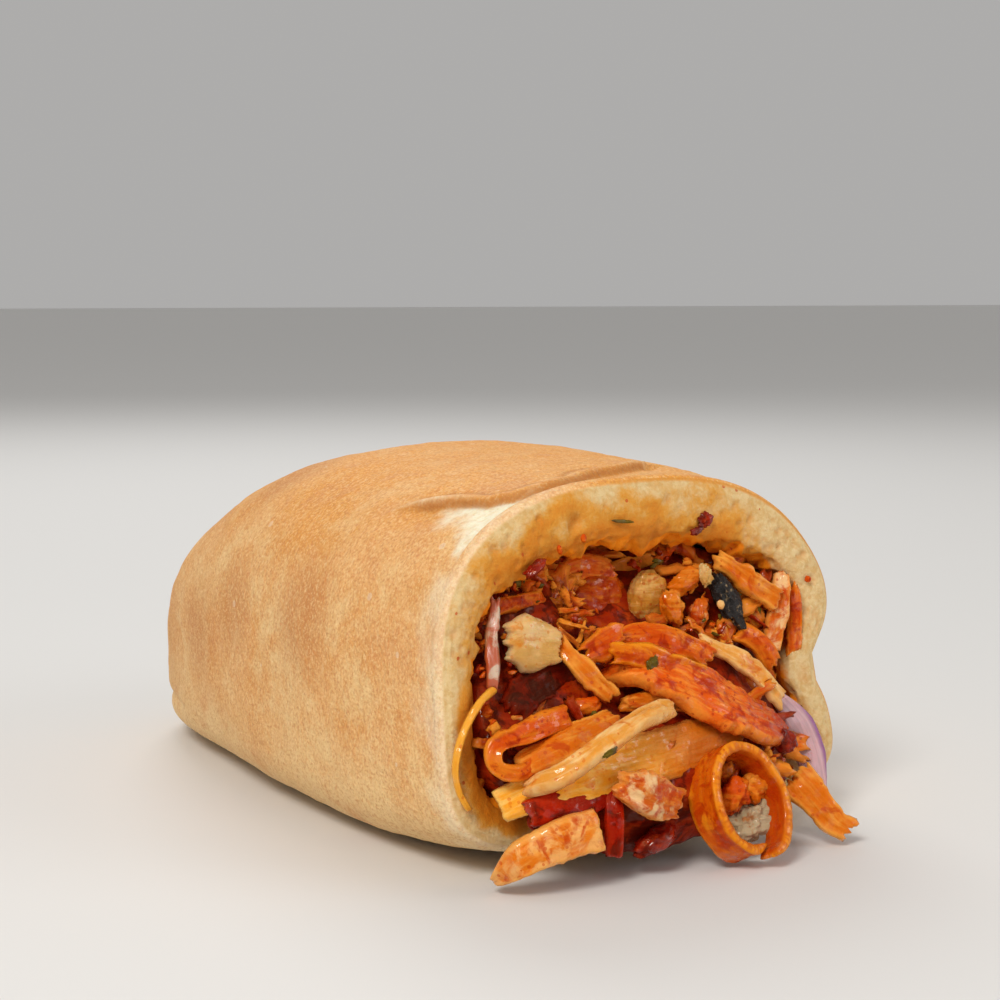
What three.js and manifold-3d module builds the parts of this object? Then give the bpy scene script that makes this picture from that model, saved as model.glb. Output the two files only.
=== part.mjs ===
// Doner kebab sandwich: half of a soft oval loaf, cut open at one end, its pocket packed with
// sauced doner strips, onion, pepper and small chunks that spill over the lower lip.
// Millimetres, +Z up. The origin is on the loaf's flat base, 70 behind the mouth.
// The mouth faces -Y and the closed end of the loaf points along +Y.
import * as THREE from "three";
import { mergeVertices } from "three/addons/utils/BufferGeometryUtils.js";
import Module from "manifold-3d";

const wasm = await Module();
wasm.setup();

// ---------------------------------------------------------------- driving sizes
const GAP = 0.35; // clearance between touching pieces
const SLIVER = 0.1; // detail finer than this is dropped from a cut solid
const MOUTH_Y = -70; // where the mouth's plane crosses the loaf's middle

const LOAF = {
  length: 165,
  mouthWidth: 90,
  bodyWidth: 109,
  mouthHeight: 69.5,
  bodyHeight: 71,
  widestAt: 0.48, // share of the length
  widestHeight: 0.46, // share of the height
  topExponent: 2.6, // roundness of the dome
  baseExponent: 5.2, // roundness of the base's edges
  basePress: 0.8, // how far the base is pressed flat
  planExponent: 3.4, // roundness of the closed end, seen from above
  sideExponent: 1.78, // roundness of the closed end, seen from the side
  endHeight: 9, // height of the closed end's tip
  lipLift: 4.5, // how far the lower lip curls up
  lipLength: 0.25, // share of the length over which it does
  mouthLean: 0.09, // the cut leans back towards its top
  mouthSkew: 0.16, // and towards its right side
  mouthFade: 0.6, // share of the length over which the cut's slant dies out
};
const WALL = { roof: 13.5, side: 8.5, floor: 7, end: 18 };
const POCKET_SHARE = 1 - WALL.end / LOAF.length;
const LEAN_HEIGHT = 35; // height at which the leaning cut crosses the mouth's plane

// A dent or swelling in the cut end's right wall: height, reach up, depth, reach along.
const WALL_WAVES = [
  { z: 46, reach: 9, push: 1.6, along: 22 },
  { z: 31, reach: 6, push: -4, along: 26 },
  { z: 12, reach: 8, push: 2.4, along: 22 },
];

const COLOURS = {
  crust: 0xdba768,
  sauce: 0x8c2208,
  meat: 0xd8752a,
  brownedMeat: 0xc4571f,
  paleMeat: 0xe6bf7c,
  pepper: 0x9c1505,
  onion: 0xd9c8cf,
  char: 0x1c1a1c,
};

// ---------------------------------------------------------------- the loaf's form
// Height, width, base height and share of the end's rounding, at a share s of the length.
function loafSection(s) {
  const swell = Math.sin((Math.min(s / LOAF.widestAt, 1) * Math.PI) / 2);
  const past = Math.max(0, (s - LOAF.widestAt) / (1 - LOAF.widestAt));
  const round = (p) => Math.pow(Math.max(0, 1 - Math.pow(past, p)), 1 / p);
  const width =
    THREE.MathUtils.lerp(LOAF.mouthWidth, LOAF.bodyWidth, swell) *
    round(LOAF.planExponent);
  const fullHeight = THREE.MathUtils.lerp(
    LOAF.mouthHeight,
    LOAF.bodyHeight,
    swell,
  );
  const top =
    LOAF.endHeight +
    (fullHeight - LOAF.endHeight) * round(LOAF.sideExponent);
  const lip = Math.max(0, 1 - s / LOAF.lipLength);
  const tipRise = LOAF.endHeight * (1 - Math.sqrt(1 - Math.pow(past, 12)));
  const base = LOAF.lipLift * lip * lip + tipRise;
  return { width, top, base };
}

// A point of the loaf. s is the share of the length, the angle runs round the section from +X
// towards +Z, and depth is 0 on the crust and 1 on the pocket's wall. clearance stands off it.
function loafPoint(s, angle, depth, clearance = 0) {
  const { width, top, base } = loafSection(s);
  const c = Math.cos(angle);
  const q = Math.sin(angle);
  const exponent = q >= 0 ? LOAF.topExponent : LOAF.baseExponent;
  const across = Math.sign(c) * Math.pow(Math.abs(c), 2 / exponent);
  const upward = Math.pow(Math.abs(q), 2 / exponent);
  const halfWidth = width / 2 - depth * WALL.side - clearance;
  const press = depth === 0 ? LOAF.basePress : 0;
  const low = base + depth * WALL.floor + clearance - press;
  const high = top - depth * WALL.roof - clearance;
  const middle = base + (top - base) * LOAF.widestHeight;
  let x = across * Math.max(0, halfWidth);
  const reach = q >= 0 ? Math.max(0, high - middle) : -Math.max(0, middle - low);
  const z = Math.max(0, middle + upward * reach);
  if (x > 0)
    for (const wave of WALL_WAVES) {
      const up = (z - wave.z) / wave.reach;
      const along = (s * LOAF.length) / wave.along;
      x += wave.push * Math.exp(-up * up - along * along) * Math.pow(Math.abs(c), 0.5);
    }
  return new THREE.Vector3(x, loafY(s, x, z), z);
}

function loafY(s, x, z) {
  const fade = Math.max(0, 1 - s / LOAF.mouthFade);
  const slant = LOAF.mouthLean * (z - LEAN_HEIGHT) + LOAF.mouthSkew * x;
  return MOUTH_Y + s * LOAF.length + fade * slant;
}

// Lathe profile rows, from the closed end's tip over the crust and the rim to the pocket's end.
function loafProfile() {
  const rows = [];
  const outer = [1, 0.996, 0.982, 0.955, 0.915, 0.86, 0.78, 0.68, 0.56, 0.43, 0.3, 0.19, 0.1, 0.05];
  for (const s of outer) rows.push({ s, depth: 0 });
  const rim = [
    [3.2, 0],
    [0.9, 0.07],
    [0, 0.3],
    [0.5, 0.65],
    [2.6, 0.92],
    [6.5, 1],
  ];
  for (const [back, depth] of rim) rows.push({ s: back / LOAF.length, depth });
  for (const s of [0.1, 0.2, 0.35, 0.5, 0.65, 0.76, 0.83, 0.87])
    rows.push({ s, depth: 1 });
  rows.push({ s: POCKET_SHARE, depth: 1, centre: true });
  return rows;
}

const LOAF_SEGMENTS = 36;

// Lathes the rows and moves every vertex to its place, so that the mesh is closed and even.
function latheRows(rows, place) {
  const points = rows.map(
    (row, i) => new THREE.Vector2(i === 0 || i === rows.length - 1 ? 0 : 1, i),
  );
  const geometry = new THREE.LatheGeometry(points, LOAF_SEGMENTS);
  const position = geometry.getAttribute("position");
  for (let i = 0; i < position.count; i++) {
    const row = Math.round(position.getY(i));
    const angle = Math.atan2(position.getZ(i), position.getX(i));
    const p = place(rows[row], angle);
    position.setXYZ(i, p.x, p.y, p.z);
  }
  return geometry;
}

// The middle of the flat wall that closes the pocket, or the core, at a share s of the length.
function wallMiddle(s, clearance) {
  const right = loafPoint(s, 0, 1, clearance);
  const left = loafPoint(s, Math.PI, 1, clearance);
  return right.add(left).multiplyScalar(0.5);
}

function loafGeometry() {
  const tip = new THREE.Vector3(0, MOUTH_Y + LOAF.length, LOAF.endHeight);
  return latheRows(loafProfile(), (row, angle) => {
    if (row.s === 1) return tip;
    return row.centre ? wallMiddle(row.s, 0) : loafPoint(row.s, angle, row.depth);
  });
}

// ---------------------------------------------------------------- strips and chunks
const STRIP_SIDES = 8;
const STRIP_STEPS = 6;
const STRIP_SQUARENESS = 3;

// A sliced piece with soft edges that follows its route. widths are spread evenly along it. face
// is the direction that its broad side looks in, and a curl has the axis that it winds round.
function stripGeometry(piece) {
  const { route, widths, thickness, face, axis, steps = STRIP_STEPS } = piece;
  const curve = new THREE.CatmullRomCurve3(route.map((p) => new THREE.Vector3(...p)));
  const geometry = new THREE.CylinderGeometry(1, 1, 1, STRIP_SIDES, steps);
  const position = geometry.getAttribute("position");
  for (let i = 0; i < position.count; i++) {
    const across = position.getX(i);
    const through = position.getZ(i);
    const t = position.getY(i) + 0.5;
    const tangent = curve.getTangentAt(t);
    const hint = axis ? new THREE.Vector3().crossVectors(axis, tangent) : new THREE.Vector3(...face);
    const normal = hint.projectOnPlane(tangent).normalize();
    const side = new THREE.Vector3().crossVectors(tangent, normal);
    const at = t * (widths.length - 1);
    const k = Math.min(Math.floor(at), widths.length - 2);
    const width = THREE.MathUtils.lerp(widths[k], widths[k + 1], at - k);
    const radius = Math.hypot(across, through);
    const angle = Math.atan2(through, across);
    const soft = (v) => Math.sign(v) * Math.pow(Math.abs(v), 2 / STRIP_SQUARENESS);
    const u = radius < 0.5 ? 0 : soft(Math.cos(angle)) * (width / 2);
    const w = radius < 0.5 ? 0 : soft(Math.sin(angle)) * (thickness / 2);
    const p = curve
      .getPointAt(t)
      .addScaledVector(side, u)
      .addScaledVector(normal, w);
    position.setXYZ(i, p.x, p.y, p.z);
  }
  return geometry;
}

// A rough lump. along is the direction of its first radius.
function chunkGeometry({ at, radii, along, seed }) {
  const geometry = new THREE.IcosahedronGeometry(1, 1);
  geometry.deleteAttribute("normal");
  geometry.deleteAttribute("uv");
  const position = geometry.getAttribute("position");
  const turn = new THREE.Quaternion().setFromUnitVectors(
    new THREE.Vector3(1, 0, 0),
    new THREE.Vector3(...along).normalize(),
  );
  const size = new THREE.Vector3(...radii);
  const v = new THREE.Vector3();
  for (let i = 0; i < position.count; i++) {
    v.fromBufferAttribute(position, i);
    const rough = 1 + 0.12 * Math.sin(seed + 5 * v.x) * Math.cos(seed * 2 + 4 * v.y + 3 * v.z);
    v.multiply(size).multiplyScalar(rough).applyQuaternion(turn);
    position.setXYZ(i, v.x + at[0], v.y + at[1], v.z + at[2]);
  }
  return geometry;
}

const OUTWARD = [-0.35, -0.9, 0.2];
const UPWARD = [-0.15, -0.6, 0.8];

// The curled strip's route: about one turn of a tall spiral, drawn in from its front end to
// its back end round an axis that comes out of the mouth and up.
const CURL = {
  centre: new THREE.Vector3(9.8, -88, 12),
  axis: new THREE.Vector3(0.28, -0.86, 0.42).normalize(),
  radiusAcross: 8.8,
  radiusUp: 10.6,
  fromAngle: -98,
  sweep: -322,
  shrink: 0.16,
  drift: -2.5,
  points: 14,
};

function curlRoute() {
  const across = new THREE.Vector3(0, 0, -1).cross(CURL.axis).normalize();
  const up = new THREE.Vector3().crossVectors(across, CURL.axis);
  const route = [];
  for (let i = 0; i <= CURL.points; i++) {
    const t = i / CURL.points;
    const angle = THREE.MathUtils.degToRad(CURL.fromAngle + CURL.sweep * t);
    const size = 1 - CURL.shrink * t;
    const p = CURL.centre
      .clone()
      .addScaledVector(across, CURL.radiusAcross * size * Math.cos(angle))
      .addScaledVector(up, CURL.radiusUp * size * Math.sin(angle))
      .addScaledVector(CURL.axis, CURL.drift * t);
    route.push(p.toArray());
  }
  return route;
}

// Every strip and chunk that shows, the foremost first. Where two would meet, the later one is
// cut to lie against the earlier one.
const PIECES = [
  {
    name: "curled_strip", colour: "meat",
    route: curlRoute(),
    widths: [4, 7, 7.5, 7, 6], thickness: 2, axis: CURL.axis, steps: 16,
  },
  {
    name: "front_strip", colour: "meat",
    route: [[-38.5, -84, 2.2], [-36, -88.5, 6.5], [-29.5, -91, 10], [-21.5, -91, 11.5]],
    widths: [1.8, 6.5, 7.5, 7.5], thickness: 3, face: OUTWARD,
  },
  {
    name: "tail_strip", colour: "meat",
    route: [[27.5, -77, 12.5], [30, -81, 8.5], [32.5, -83, 5], [36, -84, 2.6]],
    widths: [8, 6.5, 6, 5], thickness: 2.4, face: OUTWARD,
  },
  {
    name: "white_chunk", colour: "paleMeat",
    route: [[-18, -90.5, 19], [-12.5, -91, 16.5], [-4.5, -88, 13]],
    widths: [5, 8, 6], thickness: 3.4, face: OUTWARD,
  },
  {
    name: "pale_strip", colour: "paleMeat",
    route: [[-33, -86, 18.5], [-28, -90, 21.5], [-19.5, -90, 26], [-11, -87, 29], [-2, -83, 29.5]],
    widths: [3, 4, 4, 4, 3], thickness: 2.6, face: UPWARD,
  },
  {
    name: "slab_right", colour: "brownedMeat",
    route: [[-9.5, -68, 33.5], [-4, -75, 36], [6, -78.5, 31.5], [16.5, -78, 26], [27, -74, 21.5]],
    widths: [5, 10, 12, 12, 9], thickness: 2.8, face: [-0.1, -0.6, 0.8],
  },
  {
    name: "long_strip", colour: "meat",
    route: [
      [-36.5, -82, 14.5], [-31.5, -84, 17], [-24, -86, 19], [-10, -84, 20.5], [5, -80, 21.5],
      [17.5, -75, 23],
    ],
    widths: [6, 9, 9.5, 10, 10, 8], thickness: 2.8, face: OUTWARD, steps: 8,
  },
  {
    name: "folded_strip", colour: "meat",
    route: [
      [-22, -80, 29], [-31, -83, 27.5], [-37.5, -83, 25.8], [-38, -84, 22.5], [-34, -84.5, 21],
      [-30, -83, 22.5],
    ],
    widths: [4.5, 4.5, 4, 3.4, 3.2, 2.6], thickness: 3, face: [-0.3, -0.9, 0.1], steps: 9,
  },
  {
    name: "back_strip", colour: "meat",
    route: [[-33, -83, 21.5], [-24, -84, 25], [-12, -80.5, 27.5]],
    widths: [5, 7, 6], thickness: 2.4, face: UPWARD,
  },
  {
    name: "pepper_bar", colour: "pepper",
    route: [[-16.5, -86, 16.5], [-17, -88, 11.5], [-17, -88, 5]],
    widths: [3.5, 3.6, 3], thickness: 3, face: OUTWARD,
  },
  {
    name: "pepper_sheet", colour: "pepper",
    route: [[-33, -86, 14], [-24.5, -87, 15.5], [-16.5, -85.5, 16.5]],
    widths: [5, 7, 6], thickness: 2.4, face: OUTWARD,
  },
  {
    name: "bottom_bit", colour: "meat", at: [-8, -86.5, 6.5], radii: [4.6, 2.4, 2],
    along: [0.9, 0, 0.45], seed: 1,
  },
  {
    name: "curl_filling", colour: "onion", at: [10.5, -84, 10], radii: [6.5, 3.6, 7], along: [1, 0, 0],
    seed: 2,
  },
  {
    name: "onion_slice", colour: "onion",
    route: [[32, -65, 25], [35.5, -67, 20], [37.3, -68.5, 14], [37.8, -70, 7]],
    widths: [3, 6, 6, 4], thickness: 1.8, face: OUTWARD,
  },
  {
    name: "upper_slab", colour: "meat",
    route: [[-11, -66, 34], [-6.5, -68, 38.5], [2, -69.5, 39.5], [12.5, -71.5, 35.5]],
    widths: [4, 6, 6, 5], thickness: 2.6, face: [-0.2, -0.8, 0.5],
  },
  {
    name: "char_bit", colour: "char", at: [20, -64.8, 45], radii: [5.4, 2.1, 2.1],
    along: [0.4, -0.2, -0.9], seed: 3,
  },
  {
    name: "top_bar", colour: "meat",
    route: [[18.5, -63.5, 53], [25, -65, 48.5], [31.5, -65.5, 44.5]],
    widths: [4, 4.8, 4.4], thickness: 3.2, face: OUTWARD,
  },
  {
    name: "right_shred", colour: "meat",
    route: [[34, -62.5, 49], [32, -64.5, 42], [30, -65, 34.5]],
    widths: [3, 4.6, 4], thickness: 2.4, face: OUTWARD,
  },
  {
    name: "low_shred", colour: "meat",
    route: [[22.5, -65, 39], [26.5, -66, 36.5], [30, -66, 32]],
    widths: [4, 5, 4], thickness: 2.6, face: OUTWARD,
  },
  {
    name: "pale_chunk", colour: "paleMeat", at: [-25, -71.5, 41], radii: [5.6, 3, 5],
    along: [1, 0.1, -0.1], seed: 4,
  },
  {
    name: "middle_strip", colour: "meat",
    route: [[-19, -70.5, 41], [-16.5, -74.5, 36.5], [-11, -76.5, 31]],
    widths: [3, 3.8, 3.6], thickness: 2.4, face: OUTWARD,
  },
  {
    name: "left_strip", colour: "meat",
    route: [[-32, -68, 46.5], [-25, -65, 47.5], [-18, -62, 47.5]],
    widths: [3, 3.2, 2.8], thickness: 2.4, face: OUTWARD,
  },
  {
    name: "small_strip", colour: "meat",
    route: [[-30.5, -74.5, 28], [-26.5, -73.5, 29.5], [-22.5, -72, 31]],
    widths: [3, 3.6, 3], thickness: 2.4, face: OUTWARD,
  },
  {
    name: "left_onion", colour: "onion",
    route: [[-31.5, -70, 49], [-33, -72, 42], [-34, -74.5, 34]],
    widths: [2.6, 3.4, 3], thickness: 1.6, face: OUTWARD,
  },
  {
    name: "dark_slab", colour: "pepper",
    route: [[-30.5, -74.5, 29], [-24, -72, 33.5], [-14, -68.5, 36]],
    widths: [6, 8, 7], thickness: 2.8, face: OUTWARD,
  },
  {
    name: "centre_bit", colour: "meat", at: [-3.5, -71.5, 34.5], radii: [3.8, 2, 2.4],
    along: [1, 0, -0.2], seed: 5,
  },
  {
    name: "mid_bit_left", colour: "meat", at: [-16.5, -76, 29.5], radii: [3.2, 1.6, 1.7],
    along: [1, 0, 0.2], seed: 6,
  },
  {
    name: "mid_bit_right", colour: "meat", at: [-3.5, -75.5, 29.5], radii: [5.4, 2, 2],
    along: [1, 0, 0.1], seed: 7,
  },
  {
    name: "top_bit", colour: "meat", at: [12.5, -61.8, 48.5], radii: [3.4, 2, 2], along: [0.9, 0, 0.4],
    seed: 8,
  },
  {
    name: "upper_bit_left", colour: "meat", at: [8.5, -63.8, 44], radii: [3.6, 2, 2.1],
    along: [0.3, 0, -1], seed: 9,
  },
  {
    name: "upper_bit_right", colour: "meat", at: [15, -63, 42.5], radii: [3, 1.8, 1.9],
    along: [0.2, 0, 1], seed: 10,
  },
  {
    name: "white_onion", colour: "onion", at: [5.5, -59.8, 45.5], radii: [5.6, 3, 4.2],
    along: [0.1, 0, 1], seed: 11,
  },
  {
    name: "back_meat", colour: "brownedMeat", at: [-5, -56.5, 45.5], radii: [7, 4, 6],
    along: [1, 0, 0.1], seed: 12,
  },
  {
    name: "thin_strand", colour: "meat",
    route: [
      [-34, -75, 34], [-38.2, -77.4, 32], [-41.8, -79, 27.6], [-43.7, -79.8, 22.4],
      [-43.3, -80, 18], [-41, -79.8, 13.8],
    ],
    widths: [1.6, 1.5, 1.4, 1.3, 1.2], thickness: 1.3, face: OUTWARD, steps: 8,
  },
];

// ---------------------------------------------------------------- the filling's heap
const HEAP = {
  clearance: GAP + 0.2, // to the pocket's wall
  middleHeight: 34,
  lowFace: { z: 8, depth: -6 }, // the bare heap's face leans back from here
  highFace: { z: 58, depth: 17 }, // to here, behind the mouth's plane
  bareWeight: 0.12, // how much the bare face counts against the pieces that lie on it
  reach: 5, // how far a piece draws the face towards its back
  edgeSink: 4, // how far the face sinks back at the pocket's wall
};

// How far in front of (-) or behind (+) the mouth's plane the heap's face lies. Close to a piece
// it follows that piece's back.
function heapDepth(x, z) {
  const { lowFace, highFace } = HEAP;
  const height = THREE.MathUtils.clamp(z, lowFace.z, highFace.z);
  const bare = THREE.MathUtils.mapLinear(
    height,
    lowFace.z,
    highFace.z,
    lowFace.depth,
    highFace.depth,
  );
  let weight = HEAP.bareWeight;
  let sum = bare * weight;
  for (const piece of PIECES)
    for (const [px, py, pz] of piece.route ?? [piece.at]) {
      const near = Math.exp(-((px - x) ** 2 + (pz - z) ** 2) / (2 * HEAP.reach ** 2));
      const half = piece.route ? piece.thickness / 2 : piece.radii[1];
      sum += near * (py + half - loafY(0, px, pz));
      weight += near;
    }
  return sum / weight;
}

function heapGeometry() {
  const rows = [{ centre: 0.88 }];
  for (const s of [0.87, 0.83, 0.76, 0.65, 0.5, 0.35, 0.2]) rows.push({ s });
  for (const share of [1, 0.86, 0.68, 0.48, 0.28, 0.12, 0]) rows.push({ share });
  return latheRows(rows, (row, angle) => {
    if (row.centre) return wallMiddle(row.centre, HEAP.clearance);
    if (row.s) return loafPoint(row.s, angle, 1, HEAP.clearance);
    const edge = loafPoint(0, angle, 1, HEAP.clearance).setY(0);
    const p = new THREE.Vector3(0, 0, HEAP.middleHeight).lerp(edge, row.share);
    const sunk = HEAP.edgeSink * Math.pow(row.share, 6);
    p.y = loafY(0, p.x, p.z) + heapDepth(p.x, p.z) + sunk;
    return p;
  });
}

// The part of the heap that has spilled over the lower lip.
const SPILL = { at: [-3, -79.5, 12.5], radii: [31, 6.5, 10], bump: 0.06 };

function spillGeometry() {
  const geometry = new THREE.SphereGeometry(1, 18, 9);
  const position = geometry.getAttribute("position");
  const [x0, y0, z0] = SPILL.at;
  const [rx, ry, rz] = SPILL.radii;
  const v = new THREE.Vector3();
  for (let i = 0; i < position.count; i++) {
    v.fromBufferAttribute(position, i);
    const waves = Math.sin(7 * v.x + 4 * v.z) * Math.cos(6 * v.y + 3 * v.x);
    const bump = 1 + SPILL.bump * waves;
    const skew = v.x * rx * LOAF.mouthSkew;
    position.setXYZ(i, x0 + v.x * rx * bump, y0 + v.y * ry * bump + skew, z0 + v.z * rz);
  }
  return geometry;
}

// ---------------------------------------------------------------- solids
// Joins the loose corners, turns the faces outwards and grows the shape by a clearance.
function joined(geometry, growth) {
  const bare = geometry.clone();
  bare.deleteAttribute("normal");
  bare.deleteAttribute("uv");
  const whole = mergeVertices(bare, 1e-4);
  const position = whole.getAttribute("position");
  const index = whole.getIndex().array;
  const [a, b, c] = [0, 1, 2].map(() => new THREE.Vector3());
  let volume = 0;
  for (let i = 0; i < index.length; i += 3) {
    a.fromBufferAttribute(position, index[i]);
    b.fromBufferAttribute(position, index[i + 1]);
    c.fromBufferAttribute(position, index[i + 2]);
    volume += a.dot(b.cross(c)) / 6;
  }
  if (volume < 0)
    for (let i = 0; i < index.length; i += 3)
      [index[i + 1], index[i + 2]] = [index[i + 2], index[i + 1]];
  whole.computeVertexNormals();
  const normal = whole.getAttribute("normal");
  for (let i = 0; i < position.count; i++) {
    a.fromBufferAttribute(position, i).addScaledVector(b.fromBufferAttribute(normal, i), growth);
    position.setXYZ(i, a.x, a.y, a.z);
  }
  return whole;
}

function solid(geometry, growth = 0) {
  const whole = joined(geometry, growth);
  const triVerts = new Uint32Array(whole.getIndex().array);
  const vertProperties = new Float32Array(whole.getAttribute("position").array);
  return new wasm.Manifold(new wasm.Mesh({ numProp: 3, vertProperties, triVerts }));
}

// The largest body, without the slivers that a cut leaves.
function largest(manifold) {
  const bodies = manifold.simplify(SLIVER).decompose();
  return bodies.reduce((a, b) => (b.volume() > a.volume() ? b : a));
}

function meshOf(name, manifold, colour, roughness) {
  const { vertProperties, triVerts } = manifold.getMesh();
  const geometry = new THREE.BufferGeometry();
  geometry.setAttribute("position", new THREE.BufferAttribute(vertProperties, 3));
  geometry.setIndex(new THREE.BufferAttribute(triVerts, 1));
  geometry.computeVertexNormals();
  const material = new THREE.MeshStandardMaterial({ color: COLOURS[colour], roughness, metalness: 0 });
  const mesh = new THREE.Mesh(geometry, material);
  mesh.name = name;
  return mesh;
}

const sandwich = new THREE.Group();
const loaf = solid(loafGeometry());
sandwich.add(meshOf("loaf", loaf, "crust", 0.8));

// Each piece is cut back by the loaf and by the pieces in front of it, with a clearance.
let taken = solid(loafGeometry(), GAP);
for (const piece of PIECES) {
  const geometry = piece.route ? stripGeometry(piece) : chunkGeometry(piece);
  const cut = largest(solid(geometry).subtract(taken));
  taken = taken.add(solid(geometry, GAP));
  sandwich.add(meshOf(piece.name, cut, piece.colour, 0.45));
}

const heap = solid(heapGeometry()).add(solid(spillGeometry()));
sandwich.add(meshOf("filling_heap", largest(heap.subtract(taken)), "sauce", 0.5));

export default sandwich;
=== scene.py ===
"""Doner kebab sandwich: half of a soft oval loaf, cut open and packed with sauced doner strips.

Every length is in millimetres until a mesh is finished, and in metres from there on.
"""

import math
import random

import bmesh
import bpy
from mathutils import Matrix, Vector, noise


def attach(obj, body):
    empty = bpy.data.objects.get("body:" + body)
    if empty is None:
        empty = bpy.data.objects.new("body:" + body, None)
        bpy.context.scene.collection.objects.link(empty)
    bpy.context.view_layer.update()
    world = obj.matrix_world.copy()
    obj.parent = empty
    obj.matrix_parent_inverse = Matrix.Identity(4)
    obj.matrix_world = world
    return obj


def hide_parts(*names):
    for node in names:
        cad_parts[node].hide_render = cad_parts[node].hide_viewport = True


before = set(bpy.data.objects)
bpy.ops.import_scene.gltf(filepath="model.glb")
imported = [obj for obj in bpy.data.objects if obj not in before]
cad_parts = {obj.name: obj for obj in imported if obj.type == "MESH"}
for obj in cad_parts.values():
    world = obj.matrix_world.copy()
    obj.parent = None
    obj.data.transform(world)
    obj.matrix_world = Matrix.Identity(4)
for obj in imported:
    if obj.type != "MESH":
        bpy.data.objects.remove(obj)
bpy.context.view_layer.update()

MM = 0.001

# ---------------------------------------------------------------- the loaf's sizes
LENGTH = 165
MOUTH_Y = -70
MOUTH_WIDTH, BODY_WIDTH = 90, 109
MOUTH_HEIGHT, BODY_HEIGHT = 69.5, 71
WIDEST_AT, WIDEST_HEIGHT = 0.48, 0.46
TOP_EXPONENT, BASE_EXPONENT = 2.6, 5.2
PLAN_EXPONENT, SIDE_EXPONENT = 3.4, 1.78
BASE_PRESS = 0.8
END_HEIGHT = 9
LIP_LIFT, LIP_LENGTH = 4.5, 0.25
MOUTH_LEAN, MOUTH_SKEW, MOUTH_FADE, LEAN_HEIGHT = 0.09, 0.16, 0.6, 35
ROOF, SIDE, FLOOR, END_WALL = 13.5, 8.5, 7, 18
POCKET_SHARE = 1 - END_WALL / LENGTH
FOREMOST = -93.4  # nothing reaches further out of the mouth

# dents and swellings of the right wall at the cut: height, reach up, push, reach along
WALL_WAVES = ((46, 9, 1.6, 22), (31, 6, -4, 26), (12, 8, 2.4, 22))


def mix(a, b, t):
    return a + (b - a) * t


def smooth(low, high, value):
    """0 below low and 1 above high, with an even slope between them."""
    t = min(1, max(0, (value - low) / (high - low)))
    return t * t * (3 - 2 * t)


def bell(distance, reach):
    return math.exp(-((distance / reach) ** 2))


def rough(p, size, octaves=2):
    """Uneven value around 0 whose lumps are about size millimetres across."""
    total, weight = 0, 1
    for _ in range(octaves):
        total += noise.noise(p / size) * weight
        size, weight = size / 2.1, weight / 2
    return total


# ---------------------------------------------------------------- the loaf's form
def loaf_section(s):
    swell = math.sin(min(s / WIDEST_AT, 1) * math.pi / 2)
    past = max(0, (s - WIDEST_AT) / (1 - WIDEST_AT))
    plan = max(0, 1 - past ** PLAN_EXPONENT) ** (1 / PLAN_EXPONENT)
    side = max(0, 1 - past ** SIDE_EXPONENT) ** (1 / SIDE_EXPONENT)
    width = mix(MOUTH_WIDTH, BODY_WIDTH, swell) * plan
    top = END_HEIGHT + (mix(MOUTH_HEIGHT, BODY_HEIGHT, swell) - END_HEIGHT) * side
    lip = max(0, 1 - s / LIP_LENGTH)
    base = LIP_LIFT * lip * lip + END_HEIGHT * (1 - math.sqrt(max(0, 1 - past ** 12)))
    return width, top, base


def slanted_y(s, x, z):
    fade = max(0, 1 - s / MOUTH_FADE)
    return MOUTH_Y + s * LENGTH + fade * (MOUTH_LEAN * (z - LEAN_HEIGHT) + MOUTH_SKEW * x)


def loaf_point(s, angle, depth, clearance=0):
    """A point at share s of the length, angle round the section from +X to +Z, and depth from
    0 on the crust to 1 on the pocket's wall."""
    width, top, base = loaf_section(s)
    c, q = math.cos(angle), math.sin(angle)
    exponent = TOP_EXPONENT if q >= 0 else BASE_EXPONENT
    press = BASE_PRESS if depth == 0 else 0
    middle = mix(base, top, WIDEST_HEIGHT)
    high = top - depth * ROOF - clearance
    low = base + depth * FLOOR + clearance - press
    half_width = max(0, width / 2 - depth * SIDE - clearance)
    x = math.copysign(abs(c) ** (2 / exponent), c) * half_width
    reach = max(0, high - middle) if q >= 0 else -max(0, middle - low)
    z = max(0, middle + abs(q) ** (2 / exponent) * reach)
    if x > 0:
        for height, up, push, along in WALL_WAVES:
            x += push * bell(z - height, up) * bell(s * LENGTH, along) * abs(c) ** 0.5
    return Vector((x, slanted_y(s, x, z), z))


# ---------------------------------------------------------------- making meshes
def finished(name, bm, material, slot, *nodes):
    """Turns a bmesh in millimetres into a piece in metres that rides on the sandwich."""
    for v in bm.verts:
        v.co.y = max(FOREMOST, v.co.y)
    bmesh.ops.scale(bm, vec=(MM, MM, MM), verts=bm.verts)
    mesh = bpy.data.meshes.new(name)
    bm.to_mesh(mesh)
    bm.free()
    mesh.shade_smooth()
    mesh.materials.append(material)
    piece = bpy.data.objects.new(name, mesh)
    bpy.context.scene.collection.objects.link(piece)
    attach(piece, "root")
    if nodes:
        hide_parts(*nodes)
    return piece


def turned_rows(rows, segments):
    """A closed skin with one ring of vertices for each row, and the row kept as a number."""
    bm = bmesh.new()
    row_of = bm.verts.layers.int.new("row")
    chain = []
    for i in range(len(rows)):
        v = bm.verts.new((1, i, 0))
        v[row_of] = i
        chain.append(v)
    edges = [bm.edges.new(pair) for pair in zip(chain, chain[1:])]
    bmesh.ops.spin(bm, geom=chain + edges, cent=(0, 0, 0), axis=(0, -1, 0),
                   angle=math.tau, steps=segments, use_merge=True)
    return bm, row_of


def closed_up(bm, span=1e-3):
    bmesh.ops.remove_doubles(bm, verts=bm.verts, dist=span)
    bmesh.ops.recalc_face_normals(bm, faces=bm.faces)


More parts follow.
